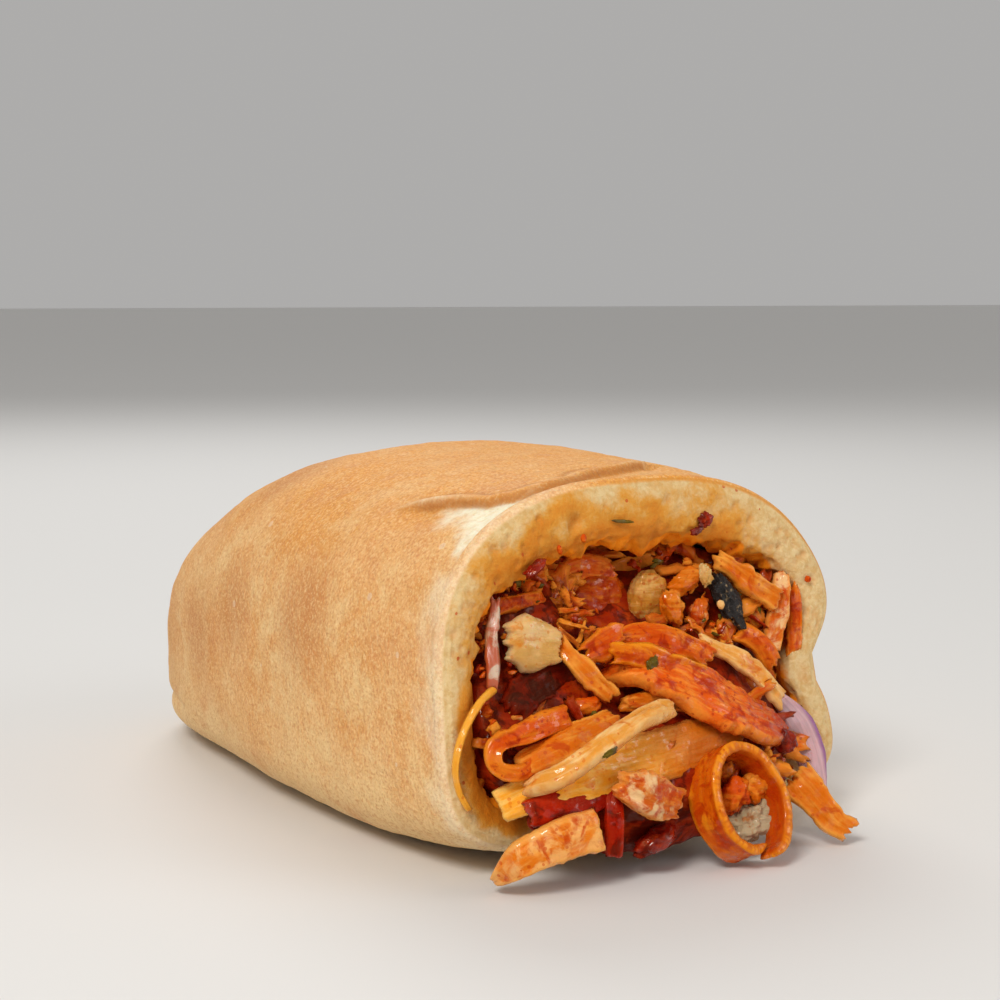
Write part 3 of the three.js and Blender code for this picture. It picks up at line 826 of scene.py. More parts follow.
# ---------------------------------------------------------------- finishes
def crust_colour(tree, place, z, specks):
    """Golden crust, paler low down, with clouds, brown patches, grain and flour, and painted shade
    in the grooves.
    """
    broad = lumpy(tree, place, 0.045, 4, 0.55, 0.4)
    clouds = lumpy(tree, place, 0.085, 6, 0.66, 0.2)
    golden = blend(tree, remap(tree, broad, 0.35, 0.65), (0.80, 0.43, 0.16), (0.72, 0.335, 0.095))
    top = remap(tree, plus(tree, z, times(tree, broad, 26)), 62, 88)
    golden = blend(tree, top, golden, (0.80, 0.335, 0.045))
    low = remap(tree, plus(tree, z, times(tree, broad, 30)), 44, 14)
    golden = blend(tree, low, golden, (0.86, 0.61, 0.29))
    creamy = times(tree, remap(tree, clouds, 0.46, 0.68),
                  remap(tree, z, 74, 36, 0.3, 0.75))
    golden = blend(tree, creamy, golden, (0.86, 0.60, 0.28))
    pinkish = remap(tree, clouds, 0.46, 0.34, 0, 0.5)
    golden = blend(tree, pinkish, golden, (0.68, 0.29, 0.095))
    for px, py, pz, reach in BROWN_PATCHES:
        gap = put(tree, "VectorMath", operation="DISTANCE")
        tree.links.new(place, gap.inputs[0])
        gap.inputs[1].default_value = (px, py, pz)
        uneven = plus(tree, gap.outputs["Value"], times(tree, broad, 14))
        near = remap(tree, uneven, reach + 12, reach - 1, 0, 0.5)
        golden = blend(tree, near, golden, (0.52, 0.19, 0.045))
    streaks = lumpy(tree, stretched(tree, place, (0.8, 0.8, 0.55)), 1.0, 5, 0.7)
    golden = blend(tree, remap(tree, streaks, 0.5, 0.66, 0, 0.42), golden, (0.62, 0.255, 0.075))
    golden = blend(tree, remap(tree, streaks, 0.49, 0.34, 0, 0.46), golden, (0.86, 0.56, 0.26))
    golden = blend(tree, remap(tree, specks, 0.52, 0.64, 0, 0.55), golden, (0.57, 0.21, 0.07))
    golden = blend(tree, remap(tree, specks, 0.47, 0.36, 0, 0.52), golden, (0.93, 0.64, 0.32))
    flour = use(tree, flecks, Place=place, Scale=0.13, Size=0.1)["Mask"]
    golden = blend(tree, times(tree, flour, 0.4), golden, (0.88, 0.70, 0.50))
    floury = blend(tree, remap(tree, streaks, 0.45, 0.7), (0.93, 0.86, 0.64), (0.86, 0.70, 0.43))
    floury = blend(tree, remap(tree, specks, 0.56, 0.72, 0, 0.3), floury, (0.64, 0.40, 0.17))
    crust = blend(tree, marked(tree, "pale"), golden, floury)
    # Painted shade: the crust is darkened in its grooves.
    pit_shade = times(tree, marked(tree, "pit_shade"), 0.8)
    return blend(tree, pit_shade, crust, (0.44, 0.16, 0.035))


def crumb_colour(tree, place):
    """Pale crumb with oil, painted shade in its holes, soaked sauce towards the pocket and red
    specks.
    """
    cells = lumpy(tree, place, 0.6, 5, 0.65, 0.5)
    fine = lumpy(tree, place, 1.7, 3, 0.6)
    crumb = blend(tree, remap(tree, cells, 0.36, 0.66), (0.73, 0.53, 0.26), (0.63, 0.40, 0.155))
    crumb = blend(tree, remap(tree, fine, 0.52, 0.7, 0, 0.5), crumb, (0.80, 0.66, 0.38))
    oil_level = plus(tree, marked(tree, "stain"), times(tree, cells, 0.6))
    oil_level = plus(tree, oil_level, times(tree, fine, 0.5))
    crumb = blend(tree, remap(tree, oil_level, 0.5, 1.25), crumb, (0.68, 0.30, 0.035))
    crumb = blend(tree, remap(tree, oil_level, 1.0, 1.7), crumb, (0.62, 0.18, 0.006))
    # Painted shade: the crumb is darkened inside its holes.
    holes = times(tree, marked(tree, "pit_shade"), 0.45)
    crumb = blend(tree, holes, crumb, (0.58, 0.22, 0.035))
    soak_level = plus(tree, marked(tree, "soak"), times(tree, cells, 0.5))
    crumb = blend(tree, remap(tree, soak_level, 0.45, 0.95), crumb, (0.84, 0.24, 0.004))
    crumb = blend(tree, remap(tree, soak_level, 1.12, 1.5), crumb, (0.74, 0.13, 0.001))
    red = use(tree, flecks, Place=place, Scale=0.34, Size=0.13)["Mask"]
    return blend(tree, times(tree, red, 0.8), crumb, (0.50, 0.06, 0.005))


def bread_finish():
    material, tree, shader = new_finish("bread_finish", Roughness=0.62)
    shader.inputs["Specular IOR Level"].default_value = 0.2
    shader.inputs["Subsurface Weight"].default_value = 0.06
    shader.inputs["Subsurface Scale"].default_value = 0.002
    place = own_place(tree)
    parts = put(tree, "SeparateXYZ")
    tree.links.new(place, parts.inputs[0])
    x, _, z = parts.outputs
    specks = lumpy(tree, place, 1.7, 3, 0.65)
    crust = crust_colour(tree, place, z, specks)
    crumb = crumb_colour(tree, place)
    browned = times(tree, remap(tree, x, -14, 2), remap(tree, z, 38, 56))
    rim = blend(tree, times(tree, browned, 0.75), crust, (0.64, 0.26, 0.035))
    near_cut = remap(tree, marked(tree, "crumb"), 0.0, 0.06)
    crust = blend(tree, near_cut, crust, rim)
    colour = blend(tree, remap(tree, marked(tree, "crumb"), 0.1, 0.55), crust, crumb)
    tree.links.new(colour, shader.inputs["Base Color"])

    pores = lumpy(tree, place, 1.2, 4, 0.65)
    knobs = lumpy(tree, place, 0.75, 3, 0.6)
    crust_grain = plus(tree, times(tree, specks, 0.5),
                       times(tree, knobs, 1.2))
    grain = put(tree, "Mix", data_type="FLOAT")
    feed(tree, grain.inputs[0], marked(tree, "crumb"))
    feed(tree, grain.inputs[2], crust_grain)
    feed(tree, grain.inputs[3], times(tree, pores, 0.7))
    height_bump(tree, shader, grain.outputs[0], 0.6, 0.0007)
    return material


def filling_finish(name, dark, main, bright, sauce=0.5, bright_amount=0.6, fineness=0.9,
                   shine=0.3, tinted=False, translucent=0.08, mottle=None, edges=0.8,
                   film_weight=0.85, mottling=0.48, darker=None):
    """Moist sauced food: fibres, patches of sauce, paler edges with a painted rim highlight,
    painted shade inside curls and patches of wet film.
    """
    material, tree, shader = new_finish(name, Roughness=shine)
    shader.inputs["Specular IOR Level"].default_value = 0.28
    shader.inputs["Specular Tint"].default_value = (1, 0.55, 0.25, 1)
    shader.inputs["Coat Roughness"].default_value = 0.07
    shader.inputs["Subsurface Weight"].default_value = translucent
    shader.inputs["Subsurface Scale"].default_value = 0.002
    place = own_place(tree)
    flat_map = put(tree, "UVMap", uv_map="along").outputs["UV"]
    lines = use(tree, fibres, Map=flat_map, Fineness=fineness)
    pale = times(tree, lines["Mask"], bright_amount)
    colour = blend(tree, pale, main, bright)
    uneven = lumpy(tree, place, 0.22, 3)
    colour = blend(tree, remap(tree, uneven, 0.5, 0.72, 0, 0.6), colour, bright)
    if mottle:
        spots = use(tree, patches, Place=place, Scale=0.24, Amount=mottling)["Mask"]
        colour = blend(tree, times(tree, spots, 0.8), colour, mottle)
    sauced = use(tree, patches, Place=place, Scale=0.26, Amount=sauce)["Mask"]
    colour = blend(tree, times(tree, sauced, 0.85), colour, dark)
    # Paler cut edges, partly a painted rim highlight.
    pale_edge_and_highlight = times(tree, marked(tree, "edge"), remap(tree, uneven, 0.3, 0.55, 0.15, edges))
    colour = blend(tree, pale_edge_and_highlight, colour, bright)
    spice = use(tree, flecks, Place=place, Scale=0.8, Size=0.27)["Mask"]
    colour = blend(tree, times(tree, spice, 0.6), colour, dark)
    # Painted shade on a curl's inner face.
    colour = blend(tree, times(tree, marked(tree, "inside"), 0.55), colour, dark)
    if darker:
        run = put(tree, "SeparateXYZ")
        tree.links.new(flat_map, run.inputs[0])
        late = remap(tree, run.outputs[0], darker[0], darker[1], 0, 0.85)
        colour = blend(tree, late, colour, darker[2])
    if tinted:
        tint = marked(tree, "tint")
        colour = blend(tree, remap(tree, tint, 0.55, 1.0), colour, bright)
        colour = blend(tree, remap(tree, tint, 0.45, 0.0), colour, dark)
    tree.links.new(colour, shader.inputs["Base Color"])
    wet = remap(tree, lumpy(tree, place, 0.5, 3), 0.35, 0.65, shine - 0.1, shine + 0.22)
    tree.links.new(wet, shader.inputs["Roughness"])
    film = remap(tree, lumpy(tree, place, 0.4, 4, 0.6), 0.52, 0.6, 0, film_weight)
    tree.links.new(film, shader.inputs["Coat Weight"])
    grain = lumpy(tree, place, 2.2, 3, 0.6)
    height = plus(tree, lines["Height"], times(tree, grain, 0.5))
    height_bump(tree, shader, height, 0.4, 0.0004)
    return material


def onion_finish(name, flesh, rim, low, high, sauce):
    """Moist pale onion with a coloured skin along one side of the strip."""
    material, tree, shader = new_finish(name, Roughness=0.34)
    shader.inputs["Specular IOR Level"].default_value = 0.35
    shader.inputs["Subsurface Weight"].default_value = 0.25
    shader.inputs["Subsurface Scale"].default_value = 0.002
    shader.inputs["Coat Weight"].default_value = 0.08
    flat_map = put(tree, "UVMap", uv_map="along").outputs["UV"]
    parts = put(tree, "SeparateXYZ")
    tree.links.new(flat_map, parts.inputs[0])
    veins = lumpy(tree, stretched(tree, flat_map, (0.1, 1.6, 1)), 1.0, 3)
    colour = blend(tree, remap(tree, veins, 0.4, 0.65), flesh, tuple(c * 1.22 for c in flesh))
    edge = remap(tree, parts.outputs[1], low, high)
    colour = blend(tree, edge, colour, rim)
    sauced = use(tree, patches, Place=own_place(tree), Scale=0.3, Amount=sauce)["Mask"]
    colour = blend(tree, times(tree, sauced, 0.85), colour, (0.44, 0.06, 0.006))
    tree.links.new(colour, shader.inputs["Base Color"])
    height_bump(tree, shader, veins, 0.25, 0.0004)
    return material


def char_finish():
    material, tree, shader = new_finish("char_finish", Roughness=0.24)
    place = own_place(tree)
    value = lumpy(tree, place, 0.9, 4, 0.7)
    colour = blend(tree, remap(tree, value, 0.57, 0.66), (0.007, 0.005, 0.004), (0.30, 0.20, 0.10))
    tree.links.new(colour, shader.inputs["Base Color"])
    height_bump(tree, shader, lumpy(tree, place, 1.6, 4, 0.7), 0.9, 0.0008)
    return material


def floor_finish():
    material, _, shader = new_finish("floor_finish", Roughness=0.7)
    shader.inputs["Base Color"].default_value = (0.74, 0.73, 0.71, 1)
    return material


# ---------------------------------------------------------------- the camera and lights
CAMERA_PLACE = (-194.3, -406.9, 103.6)
CAMERA_LOOKING = (0.4352, 0.8950, -0.0979)
CAMERA_LENS = 76.6
FLOOR_REACH = 12  # metres each way
LIT_SPOT = (0, 0, 0.03)

# name, place in metres, width, power and colour
LIGHTS = (
    ("key", (-0.75, -0.75, 0.9), 0.45, 11, (1, 0.97, 0.93)),
    ("fill", (0.9, -0.9, 0.5), 0.9, 4.2, (1, 1, 1)),
    ("rim_light", (0.2, 0.9, 0.9), 0.7, 4.5, (1, 1, 1)),
)


def place_camera():
    data = bpy.data.cameras.new("camera")
    data.sensor_width = 36
    data.lens = CAMERA_LENS
    data.clip_start = 0.01
    camera = bpy.data.objects.new("camera", data)
    bpy.context.scene.collection.objects.link(camera)
    camera.location = Vector(CAMERA_PLACE) * MM
    camera.rotation_euler = Vector(CAMERA_LOOKING).to_track_quat("-Z", "Y").to_euler()
    bpy.context.scene.camera = camera


def soft_light(name, place, size, power, colour):
    data = bpy.data.lights.new(name, "AREA")
    data.shape = "DISK"
    data.size = size
    data.energy = power
    data.color = colour
    light = bpy.data.objects.new(name, data)
    light.location = place
    towards = Vector(LIT_SPOT) - Vector(place)
    light.rotation_euler = towards.to_track_quat("-Z", "Y").to_euler()
    bpy.context.scene.collection.objects.link(light)


def make_studio():
    bm = bmesh.new()
    bmesh.ops.create_grid(bm, x_segments=1, y_segments=1, size=FLOOR_REACH)
    mesh = bpy.data.meshes.new("floor")
    bm.to_mesh(mesh)
    bm.free()
    mesh.materials.append(floor_finish())
    ground = bpy.data.objects.new("floor", mesh)
    bpy.context.scene.collection.objects.link(ground)
    for light in LIGHTS:
        soft_light(*light)
    world = bpy.data.worlds.new("studio")
    world.use_nodes = True
    sky = world.node_tree.nodes["Background"]
    sky.inputs["Color"].default_value = (1, 0.985, 0.97, 1)
    sky.inputs["Strength"].default_value = 0.42
    bpy.context.scene.world = world
    bpy.context.scene.view_settings.view_transform = "Standard"
    bpy.context.scene.view_settings.look = "None"


place_camera()
make_studio()

# ---------------------------------------------------------------- finishes of the filling
# name: dark, main and bright colour, and other settings of filling_finish
FILLING_TONES = {
    "sauced_core": ((0.07, 0.001, 0.0002), (0.28, 0.012, 0.0006), (0.5, 0.06, 0.002),
        dict(sauce=0.5, bright_amount=0.35, shine=0.42, film_weight=0.35)),
    "orange_meat": ((0.34, 0.012, 0.0006), (0.6, 0.066, 0.001), (0.78, 0.23, 0.012),
        dict(sauce=0.34, bright_amount=0.6)),
    "brown_meat": ((0.4, 0.014, 0.0006), (0.7, 0.09, 0.002), (0.86, 0.28, 0.03),
        dict(sauce=0.36, bright_amount=0.8, fineness=1.2, darker=(30, 46, (0.42, 0.022, 0.0008)))),
    "golden_meat": ((0.5, 0.05, 0.0008), (0.66, 0.14, 0.003), (0.84, 0.36, 0.05),
        dict(sauce=0.28, bright_amount=0.6)),
    "cream_meat": ((0.6, 0.11, 0.004), (0.78, 0.38, 0.1), (0.88, 0.6, 0.27),
        dict(sauce=0.22, bright_amount=0.7)),
    "mottled_meat": ((0.48, 0.035, 0.001), (0.6, 0.1, 0.003), (0.76, 0.28, 0.04),
        dict(sauce=0.42, mottle=(0.84, 0.58, 0.28), mottling=0.44)),
    "pale_flesh": ((0.58, 0.2, 0.02), (0.6, 0.32, 0.08), (0.76, 0.52, 0.24),
        dict(sauce=0.3, translucent=0.35, bright_amount=0.7, shine=0.2, fineness=0.25,
             film_weight=0.9)),
    # Painted shade: orange meat darkened for the piece deep under the roof.
    "back_piece_in_shade": ((0.34, 0.014, 0.0006), (0.46, 0.05, 0.001), (0.66, 0.17, 0.008),
        dict(sauce=0.34, bright_amount=0.8, fineness=1.0)),
    "ridge_meat": ((0.62, 0.13, 0.004), (0.74, 0.29, 0.035), (0.86, 0.56, 0.23),
        dict(sauce=0.3, bright_amount=0.85, edges=0.5)),
    # Painted shade: a near-black finish for a sheet that stands for the shade between pieces.
    "gap_shade": ((0.03, 0.0006, 0.0002), (0.1, 0.002, 0.0003), (0.26, 0.012, 0.001),
        dict(sauce=0.55, bright_amount=0.3, shine=0.5, film_weight=0.1)),
    "front_meat": ((0.52, 0.05, 0.001), (0.72, 0.17, 0.006), (0.86, 0.4, 0.08),
        dict(sauce=0.3, mottle=(0.84, 0.42, 0.13))),
    "long_meat": ((0.78, 0.17, 0.003), (0.94, 0.38, 0.025), (0.97, 0.62, 0.16),
        dict(sauce=0.22, bright_amount=0.9, darker=(20, 42, (0.52, 0.1, 0.004)))),
    "strand_meat": ((0.62, 0.12, 0.003), (0.74, 0.26, 0.01), (0.84, 0.38, 0.04),
        dict(sauce=0.15)),
    "holey_white": ((0.34, 0.1, 0.01), (0.44, 0.33, 0.19), (0.58, 0.48, 0.33),
        dict(sauce=0.28, shine=0.3)),
    "dark_sauce": ((0.1, 0.002, 0.001), (0.22, 0.006, 0.002), (0.4, 0.03, 0.003),
        dict(sauce=0.5, shine=0.2)),
    "skin_meat": ((0.44, 0.03, 0.0006), (0.6, 0.088, 0.001), (0.8, 0.26, 0.008),
        dict(sauce=0.44, bright_amount=0.5, fineness=0.6, shine=0.24, edges=1.0)),
    "red_pepper": ((0.1, 0.001, 0.0003), (0.3, 0.004, 0.0005), (0.46, 0.02, 0.001),
        dict(sauce=0.4, bright_amount=0.3, shine=0.22)),
    "shred_meat": ((0.24, 0.006, 0.0004), (0.58, 0.066, 0.001), (0.82, 0.28, 0.025),
        dict(sauce=0.36, tinted=True)),
    "clear_onion": ((0.42, 0.07, 0.002), (0.5, 0.2, 0.022), (0.72, 0.46, 0.16),
        dict(sauce=0.3, translucent=0.3, shine=0.18)),
    "herb": ((0.05, 0.03, 0.003), (0.09, 0.06, 0.005), (0.16, 0.12, 0.012),
        dict(sauce=0.3, shine=0.4)),
}
FINISHES = {name: filling_finish(name + "_finish", *tones, **more)
            for name, (*tones, more) in FILLING_TONES.items()}
FINISHES["purple_onion"] = onion_finish("purple_onion_finish", (0.54, 0.34, 0.36),
                                        (0.26, 0.09, 0.24), -1.6, -2.6, 0.12)
FINISHES["white_onion"] = onion_finish("white_onion_finish", (0.50, 0.37, 0.27),
                                       (0.46, 0.20, 0.07), 0.2, 1.4, 0.62)
FINISHES["char"] = char_finish()

# ---------------------------------------------------------------- the strips that show
CURL_AXIS = Vector((0.28, -0.86, 0.42)).normalized()
CURL_CENTRE = Vector((9.8, -88, 12))


def curl_route():
    """About one turn of a tall spiral that tightens towards its back end.

    It runs on a little behind its front end, so that the curl looks closed.
    """
    across = Vector((0, 0, -1)).cross(CURL_AXIS).normalized()
    up = across.cross(CURL_AXIS)
    steps = 14
    route = []
    for i in range(steps + 3):
        t = i / steps
        angle = math.radians(-98 - 322 * t)
        size = 1 - 0.16 * t
        route.append(CURL_CENTRE + across * (8.8 * size * math.cos(angle))
                     + up * (10.6 * size * math.sin(angle)) - CURL_AXIS * (2.5 * t))
    return route


UPWARD = (-0.15, -0.6, 0.8)

# name, solid that it stands for, finish, slot, route, widths, thickness, other settings
SHAVINGS = (
    ("curled_shaving", "curled_strip", "skin_meat", "doner_meat", curl_route(),
     (4, 7, 7.5, 7, 6), 2, dict(axis=CURL_AXIS, ragged=0.035, torn=0.6, ridges=0.05, cup=0.02)),
    ("front_shaving", "front_strip", "front_meat", "doner_meat",
     ((-38.5, -84, 2.2), (-36, -88.5, 6.5), (-29.5, -91, 10), (-21.5, -91, 11.5)),
     (1.8, 6.5, 7.5, 7.5), 3, dict(torn=0.3, seed=2, ridges=0.1, ragged=0.1)),
    ("tail_shaving", "tail_strip", "golden_meat", "doner_meat",
     ((27.5, -77, 12.5), (30, -81, 8.5), (32.5, -83, 5), (36, -84, 2.6)),
     (8, 6.5, 6, 5), 2.4, dict(torn=1.6, seed=3, ridges=0.12)),
    ("white_shaving", "white_chunk", "mottled_meat", "pale_meat",
     ((-18, -90.5, 19), (-12.5, -91, 16.5), (-4.5, -88, 13)),
     (5, 8, 6), 3.4, dict(torn=2.2, seed=4, ragged=0.3, ridges=0.35)),
    ("pale_shaving", "pale_strip", "ridge_meat", "pale_meat",
     ((-33, -86, 18.5), (-28, -90, 21.5), (-19.5, -90, 26), (-11, -87, 29), (-2, -83, 29.5)),
     (3, 4, 4, 4, 3), 2.6, dict(face=UPWARD, seed=5, torn=2.4, ragged=0.16)),
    ("browned_slab", "slab_right", "brown_meat", "browned_meat",
     ((-9.5, -68, 33.5), (-4, -75, 36), (6, -78.5, 31.5), (16.5, -78, 26), (27, -74, 21.5)),
     (5, 10, 12, 12, 9), 2.8, dict(face=(-0.1, -0.6, 0.8), ridges=0.42, torn=2, seed=6,
                                   ragged=0.14)),
    ("long_shaving", "long_strip", "long_meat", "doner_meat",
     ((-36.5, -82, 14.5), (-31.5, -84, 17), (-24, -86, 19), (-10, -84, 20.5), (5, -80, 21.5),
      (17.5, -75, 23)),
     (6, 9, 9.5, 10, 10, 8), 2.8, dict(seed=7, torn=0.3, ragged=0.1)),
    ("folded_shaving", "folded_strip", "orange_meat", "doner_meat",
     ((-22, -80, 29), (-31, -83, 27.5), (-37.5, -83, 25.8), (-38, -84, 22.5), (-34, -84.5, 21),
      (-30, -83, 22.5)),
     (4.5, 4.5, 4, 3.4, 3.2, 2.6), 3, dict(face=(-0.3, -0.9, 0.1), seed=8, ragged=0.26)),
    ("back_shaving", "back_strip", "golden_meat", "doner_meat",
     ((-33, -83, 21.5), (-24, -84, 25), (-12, -80.5, 27.5)),
     (5, 7, 6), 2.4, dict(face=UPWARD, seed=9)),
    ("pepper_stick", "pepper_bar", "red_pepper", "pepper",
     ((-16.5, -86, 16.5), (-17, -88, 11.5), (-17, -88, 5)),
     (3.5, 3.6, 3), 3, dict(seed=10, ragged=0.06, torn=0.4, ridges=0.06)),
    ("pepper_leaf", "pepper_sheet", "red_pepper", "pepper",
     ((-33, -86, 14), (-24.5, -87, 15.5), (-16.5, -85.5, 16.5)),
     (5, 7, 6), 2.4, dict(seed=11, ragged=0.1, ridges=0.08)),
    ("purple_onion_slice", "onion_slice", "purple_onion", "onion",
     ((32, -65, 25), (35.5, -67, 20), (37.3, -68.5, 14), (37.8, -70, 7)),
     (3, 6, 6, 4), 1.8, dict(seed=12, ragged=0.03, torn=0.4, ridges=0.05)),
    ("upper_shaving", "upper_slab", "orange_meat", "doner_meat",
     ((-11, -66, 34), (-6.5, -68, 38.5), (2, -69.5, 39.5), (12.5, -71.5, 35.5)),
     (4, 6, 6, 5), 2.6, dict(face=(-0.2, -0.8, 0.5), seed=13, ragged=0.3, torn=1.8,
                             ridges=0.4)),
    ("top_stick", "top_bar", "golden_meat", "doner_meat",
     ((18.5, -63.5, 53), (25, -65, 48.5), (31.5, -65.5, 44.5)),
     (4, 4.8, 4.4), 3.2, dict(seed=14, torn=1.4, ragged=0.4, ridges=0.4)),
    ("right_shaving", "right_shred", "mottled_meat", "doner_meat",
     ((34, -62.5, 49), (32, -64.5, 42), (30, -65, 34.5)),
     (3, 4.6, 4), 2.4, dict(seed=15, ragged=0.25)),
    ("low_shaving", "low_shred", "orange_meat", "doner_meat",
     ((22.5, -65, 39), (26.5, -66, 36.5), (30, -66, 32)),
     (4, 5, 4), 2.6, dict(seed=16, ragged=0.25)),
    ("middle_shaving", "middle_strip", "golden_meat", "doner_meat",
     ((-19, -70.5, 41), (-16.5, -74.5, 36.5), (-11, -76.5, 31)),
     (3, 3.8, 3.6), 2.4, dict(seed=17, ragged=0.35, ridges=0.3)),
    ("left_shaving", "left_strip", "orange_meat", "doner_meat",
     ((-32, -68, 46.5), (-25, -65, 47.5), (-18, -62, 47.5)),
     (3, 3.2, 2.8), 2.4, dict(seed=18, ragged=0.25)),
    ("small_shaving", "small_strip", "mottled_meat", "doner_meat",
     ((-30.5, -74.5, 28), (-26.5, -73.5, 29.5), (-22.5, -72, 31)),
     (3, 3.6, 3), 2.4, dict(seed=19)),
    ("left_onion_slice", "left_onion", "white_onion", "onion",
     ((-31.5, -70, 49), (-33, -72, 42), (-34, -74.5, 34)),
     (1.9, 2.7, 2.2), 1.3, dict(seed=20, ragged=0.4, ridges=0.1, torn=1.6)),
    ("pale_slice", "pale_chunk", "pale_flesh", "pale_meat",
     ((-30.4, -72, 41.6), (-27, -72.4, 41.4), (-23, -72, 40.6), (-19.6, -71.4, 40)),
     (6.4, 10.2, 9.6, 6), 4, dict(seed=24, ragged=0.2, torn=1.2, ridges=0.1, cup=0.05, hem=8)),
    # Painted shade: a near-black sheet that stands for the shade in the gap between pieces.
    ("gap_shade_shaving", "dark_slab", "gap_shade", "pepper",
     ((-30.5, -74.5, 29), (-24, -72, 33.5), (-14, -68.5, 36)),
     (6, 8, 7), 2.8, dict(seed=21, ragged=0.2, ridges=0.3)),
    ("hanging_strand", "thin_strand", "strand_meat", "doner_meat",
     ((-34, -75, 34), (-38.2, -77.4, 32), (-41.8, -79, 27.6), (-43.7, -79.8, 22.4),
      (-43.3, -80, 18), (-41, -79.8, 13.8)),
     (1.6, 1.5, 1.4, 1.3, 1.2), 1.3, dict(seed=22, step=0.25, ragged=0.15, torn=0.3)),
)

# name, solid that it stands for, finish, slot, place, radii, direction, other settings
MORSELS = (
    ("bottom_morsel", "bottom_bit", "dark_sauce", "doner_meat", (-8, -86.5, 6.5),
     (4.6, 2.4, 2), (0.9, 0, 0.45), dict(seed=1)),
    ("curl_morsel", "curl_filling", "holey_white", "onion", (13.2, -84, 6.6),
     (5.2, 3, 3.6), (1, 0, 0.25), dict(seed=2, lumps=0.4, fineness=5)),
    ("char_morsel", "char_bit", "char", "charred_bit", (20, -64.8, 45),
     (5.4, 2.1, 2.1), (0.4, -0.2, -0.9), dict(seed=3, lumps=0.34, fineness=5)),
    ("centre_morsel", "centre_bit", "orange_meat", "doner_meat", (-3.5, -71.5, 34.5),
     (3.8, 2, 2.4), (1, 0, -0.2), dict(seed=5)),
    ("left_crumb", "mid_bit_left", "orange_meat", "doner_meat", (-16.5, -76, 29.5),
     (3.2, 1.6, 1.7), (1, 0, 0.2), dict(seed=6)),
    ("right_crumb", "mid_bit_right", "golden_meat", "doner_meat", (-3.5, -75.5, 29.5),
     (5.4, 2, 2), (1, 0, 0.1), dict(seed=7)),
    ("top_crumb", "top_bit", "golden_meat", "doner_meat", (12.5, -61.8, 48.5),
     (3.4, 2, 2), (0.9, 0, 0.4), dict(seed=8, lumps=0.35)),
    ("upper_crumb_left", "upper_bit_left", "golden_meat", "doner_meat", (8.5, -63.8, 44),
     (3.6, 2, 2.1), (0.3, 0, -1), dict(seed=9, lumps=0.35)),
    ("upper_crumb_right", "upper_bit_right", "mottled_meat", "doner_meat", (15, -63, 42.5),
     (3, 1.8, 1.9), (0.2, 0, 1), dict(seed=10, lumps=0.35)),
    ("glassy_onion", "white_onion", "clear_onion", "onion", (5.5, -59.8, 45.5),
     (5.6, 3, 4.2), (0.1, 0, 1), dict(seed=11, lumps=0.12, fineness=5)),
    # Painted shade: the piece at the back takes the darkened meat finish.
    ("back_morsel", "back_meat", "back_piece_in_shade", "browned_meat", (-5, -56.5, 45.5),
     (7, 4, 6), (1, 0, 0.1), dict(seed=12, lumps=0.12, fineness=5)),
)

# Further strips and chunks between the main ones, laid out in the same way.
LOOSE_SHAVINGS = (
    ("side_shaving", "ridge_meat", ((11, -69.5, 38.7), (20.7, -70, 33.9), (29.5, -70.5, 25.6)),
     (2.4, 4.2, 3.8), 1.4, dict(face=(-0.2, -0.8, 0.5), seed=31, ragged=0.25, torn=1.5)),
    ("block_shaving", "skin_meat",
     ((-10.6, -75.6, 38.7), (-4.9, -76.4, 37.7), (1.1, -76.6, 36), (8.6, -75.6, 33.6)),
     (3.2, 4.4, 4, 2.6), 1.8, dict(seed=32, ragged=0.35, torn=1.6, ridges=0.35)),
    ("chunk_shaving", "orange_meat",
     ((-14.4, -71.6, 38.4), (-10.5, -72.4, 40.2), (-6.5, -71.6, 41.8)),
     (4.2, 5.2, 3.4), 2, dict(seed=36, ragged=0.45, torn=2, ridges=0.4)),
    ("roof_shaving_left", "brown_meat", ((-15.5, -60, 50), (-9, -58, 52), (-1, -58, 51)),
     (3, 5, 4), 2, dict(seed=33, ragged=0.3, torn=1.6)),
    ("roof_shaving_right", "golden_meat", ((20, -61, 51), (25, -62, 45), (29, -63, 39)),
     (3, 4, 3), 1.8, dict(seed=34, ragged=0.35, torn=1.6)),
    ("wall_shaving", "orange_meat", ((36.5, -62, 47), (37, -62.5, 40), (36.4, -63, 33)),
     (3, 4.4, 3), 1.8, dict(seed=35, ragged=0.3, torn=1.6)),
)
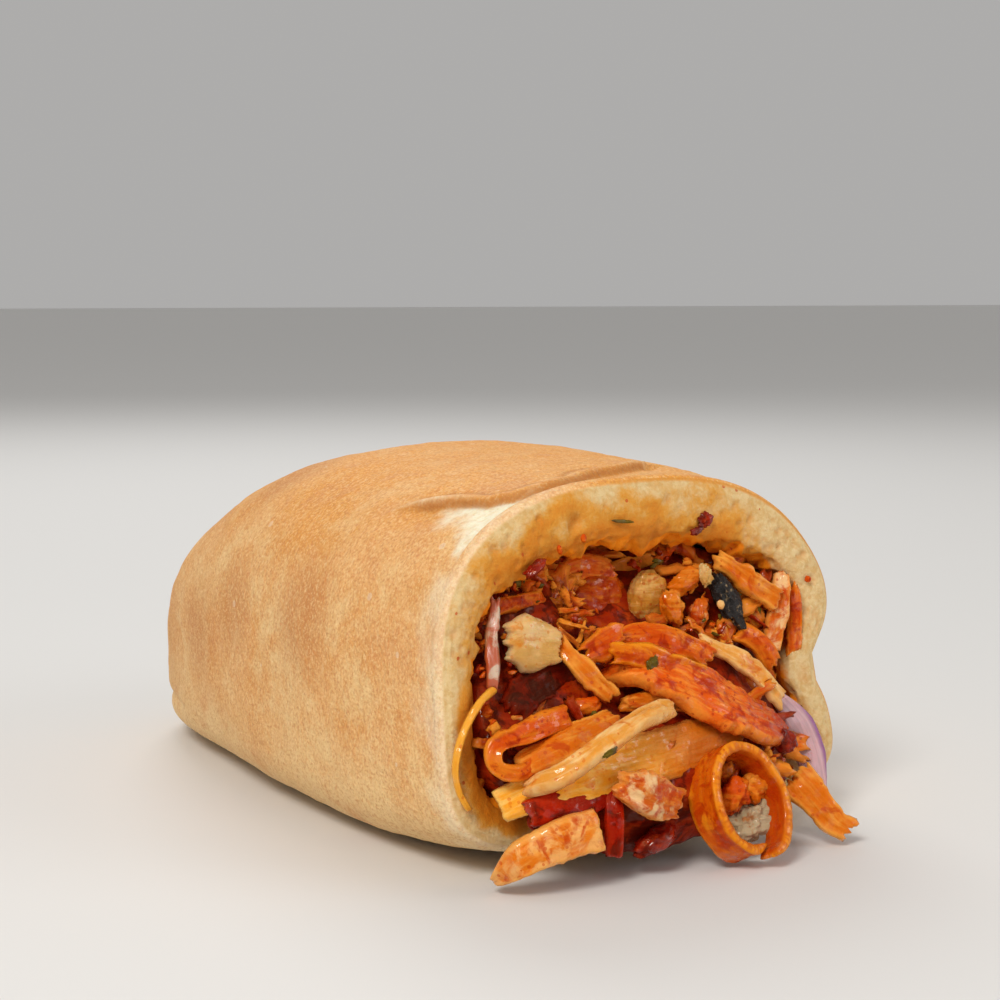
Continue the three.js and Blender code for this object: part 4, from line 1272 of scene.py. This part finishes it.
LOOSE_MORSELS = (
    ("herb_leaf", "herb", (-3.7, -77.6, 36.2), (1.7, 0.4, 0.9), (0.5, 0, 1),
     dict(seed=53, lumps=0.5)),
    ("herb_leaf_low", "herb", (-20, -91.8, 24.6), (1.5, 0.35, 0.5), (1, 0, 0.5),
     dict(seed=54, lumps=0.5)),
    ("char_fleck", "cream_meat", (17.3, -67.1, 44.6), (0.8, 0.4, 1), (1, 0, 0.4),
     dict(seed=51, fineness=3)),
    ("char_scrap", "pale_flesh", (14.8, -65.6, 50.2), (1.2, 0.7, 2.2), (1, 0, 0.2),
     dict(seed=52, lumps=0.5)),
    ("curl_red_bit", "orange_meat", (9.8, -84.6, 12.4), (3.2, 2.2, 2.6), (0.5, 0, 1),
     dict(seed=41, lumps=0.4)),
    ("curl_orange_bit", "golden_meat", (14.6, -83.6, 13), (2.6, 1.8, 2.4), (1, 0, -0.4),
     dict(seed=42, lumps=0.4)),
    ("dark_bit", "dark_sauce", (24.6, -77.6, 20), (3.2, 1.8, 2.2), (1, 0, -0.9),
     dict(seed=43, lumps=0.35)),
    ("sauce_blob", "dark_sauce", (14.7, -65.4, 60.6), (1.5, 0.8, 1.3), (1, 0, 0.8),
     dict(seed=44, lumps=0.5)),
    ("sauce_blob_low", "dark_sauce", (12.6, -65.8, 58.7), (1.3, 0.6, 0.7), (1, 0, 0.2),
     dict(seed=45, lumps=0.5)),
    ("red_bit_left", "dark_sauce", (-24.6, -72, 54.4), (2.2, 1, 1), (1, 0, 0.7),
     dict(seed=46, lumps=0.4)),
    ("orange_speck", "orange_meat", (-13.8, -70.2, 59.1), (0.6, 0.4, 0.8), (1, 0, 0),
     dict(seed=47, fineness=2)),
    ("orange_speck_left", "orange_meat", (-19.2, -71.2, 57.4), (0.5, 0.4, 0.9), (1, 0, 0.2),
     dict(seed=48, fineness=2)),
    ("orange_speck_right", "orange_meat", (39.9, -62.7, 47.6), (0.7, 0.4, 0.7), (1, 0, 0),
     dict(seed=49, fineness=2)),
    ("herb_thread", "herb", (-4.9, -68.6, 61.6), (2.2, 0.3, 0.35), (1, 0, -0.1),
     dict(seed=50, fineness=3)),
)

FACE_POINTS = [(*place, row[6] / 2) for row in SHAVINGS for place in row[4]]
FACE_POINTS += [(*row[4], row[5][1]) for row in MORSELS]

# The strips and chunks as rounds seen from the mouth: place across, height and radius.
FOOTPRINTS = [(p.x, p.z, 0.42 * max(row[5]))
              for row in SHAVINGS for p in Route(row[4]).samples[::6]]
FOOTPRINTS += [(row[4][0], row[4][2], 0.9 * max(row[5])) for row in MORSELS]

make_bread()
make_core(FINISHES["sauced_core"])
make_spill(FINISHES["sauced_core"])
for name, node, finish, slot, route, widths, thickness, more in SHAVINGS:
    shaving(name, (node,), route, widths, thickness, FINISHES[finish], slot, **more)
for name, node, finish, slot, place, radii, along, more in MORSELS:
    morsel(name, (node,), place, radii, along, FINISHES[finish], slot, **more)

for name, finish, route, widths, thickness, more in LOOSE_SHAVINGS:
    shaving(name, (), route, widths, thickness, FINISHES[finish], "doner_meat", **more)
for name, finish, place, radii, along, more in LOOSE_MORSELS:
    morsel(name, (), place, radii, along, FINISHES[finish], "doner_meat", **more)

scatter_shreds("meat_shreds", 62, 11, FINISHES["shred_meat"], ((5, 12), (2.4, 5), (0.9, 1.7)),
               (-1.8, 0.8), (0.1, 0.3, 0.4, 0.5, 0.55, 0.6, 0.8))
scatter_shreds("fine_shreds", 52, 23, FINISHES["shred_meat"], ((3, 7), (1.0, 2.4), (0.6, 1.1)),
               (-0.4, 1.6), (0.1, 0.3, 0.5, 0.7, 0.9), crowd=0.04)
scatter_crumbs("meat_crumbs", 90, 5, FINISHES["shred_meat"], (0.3, 0.8), "doner_meat",
               (0.1, 0.4, 0.5, 0.6, 0.9))
scatter_crumbs("wall_crumbs", 26, 15, FINISHES["shred_meat"], (0.5, 1.2), "doner_meat",
               (0.1, 0.4, 0.9), region=(0.94, 1), stand_off=(1, 3), crowd=1, arc=(2.6, 3.3))
scatter_crumbs("herb_flakes", 26, 9, FINISHES["herb"], (0.35, 0.8), "onion", (0.5,), squash=0.3,
               stand_off=(1.4, 2.8), crowd=0.4)
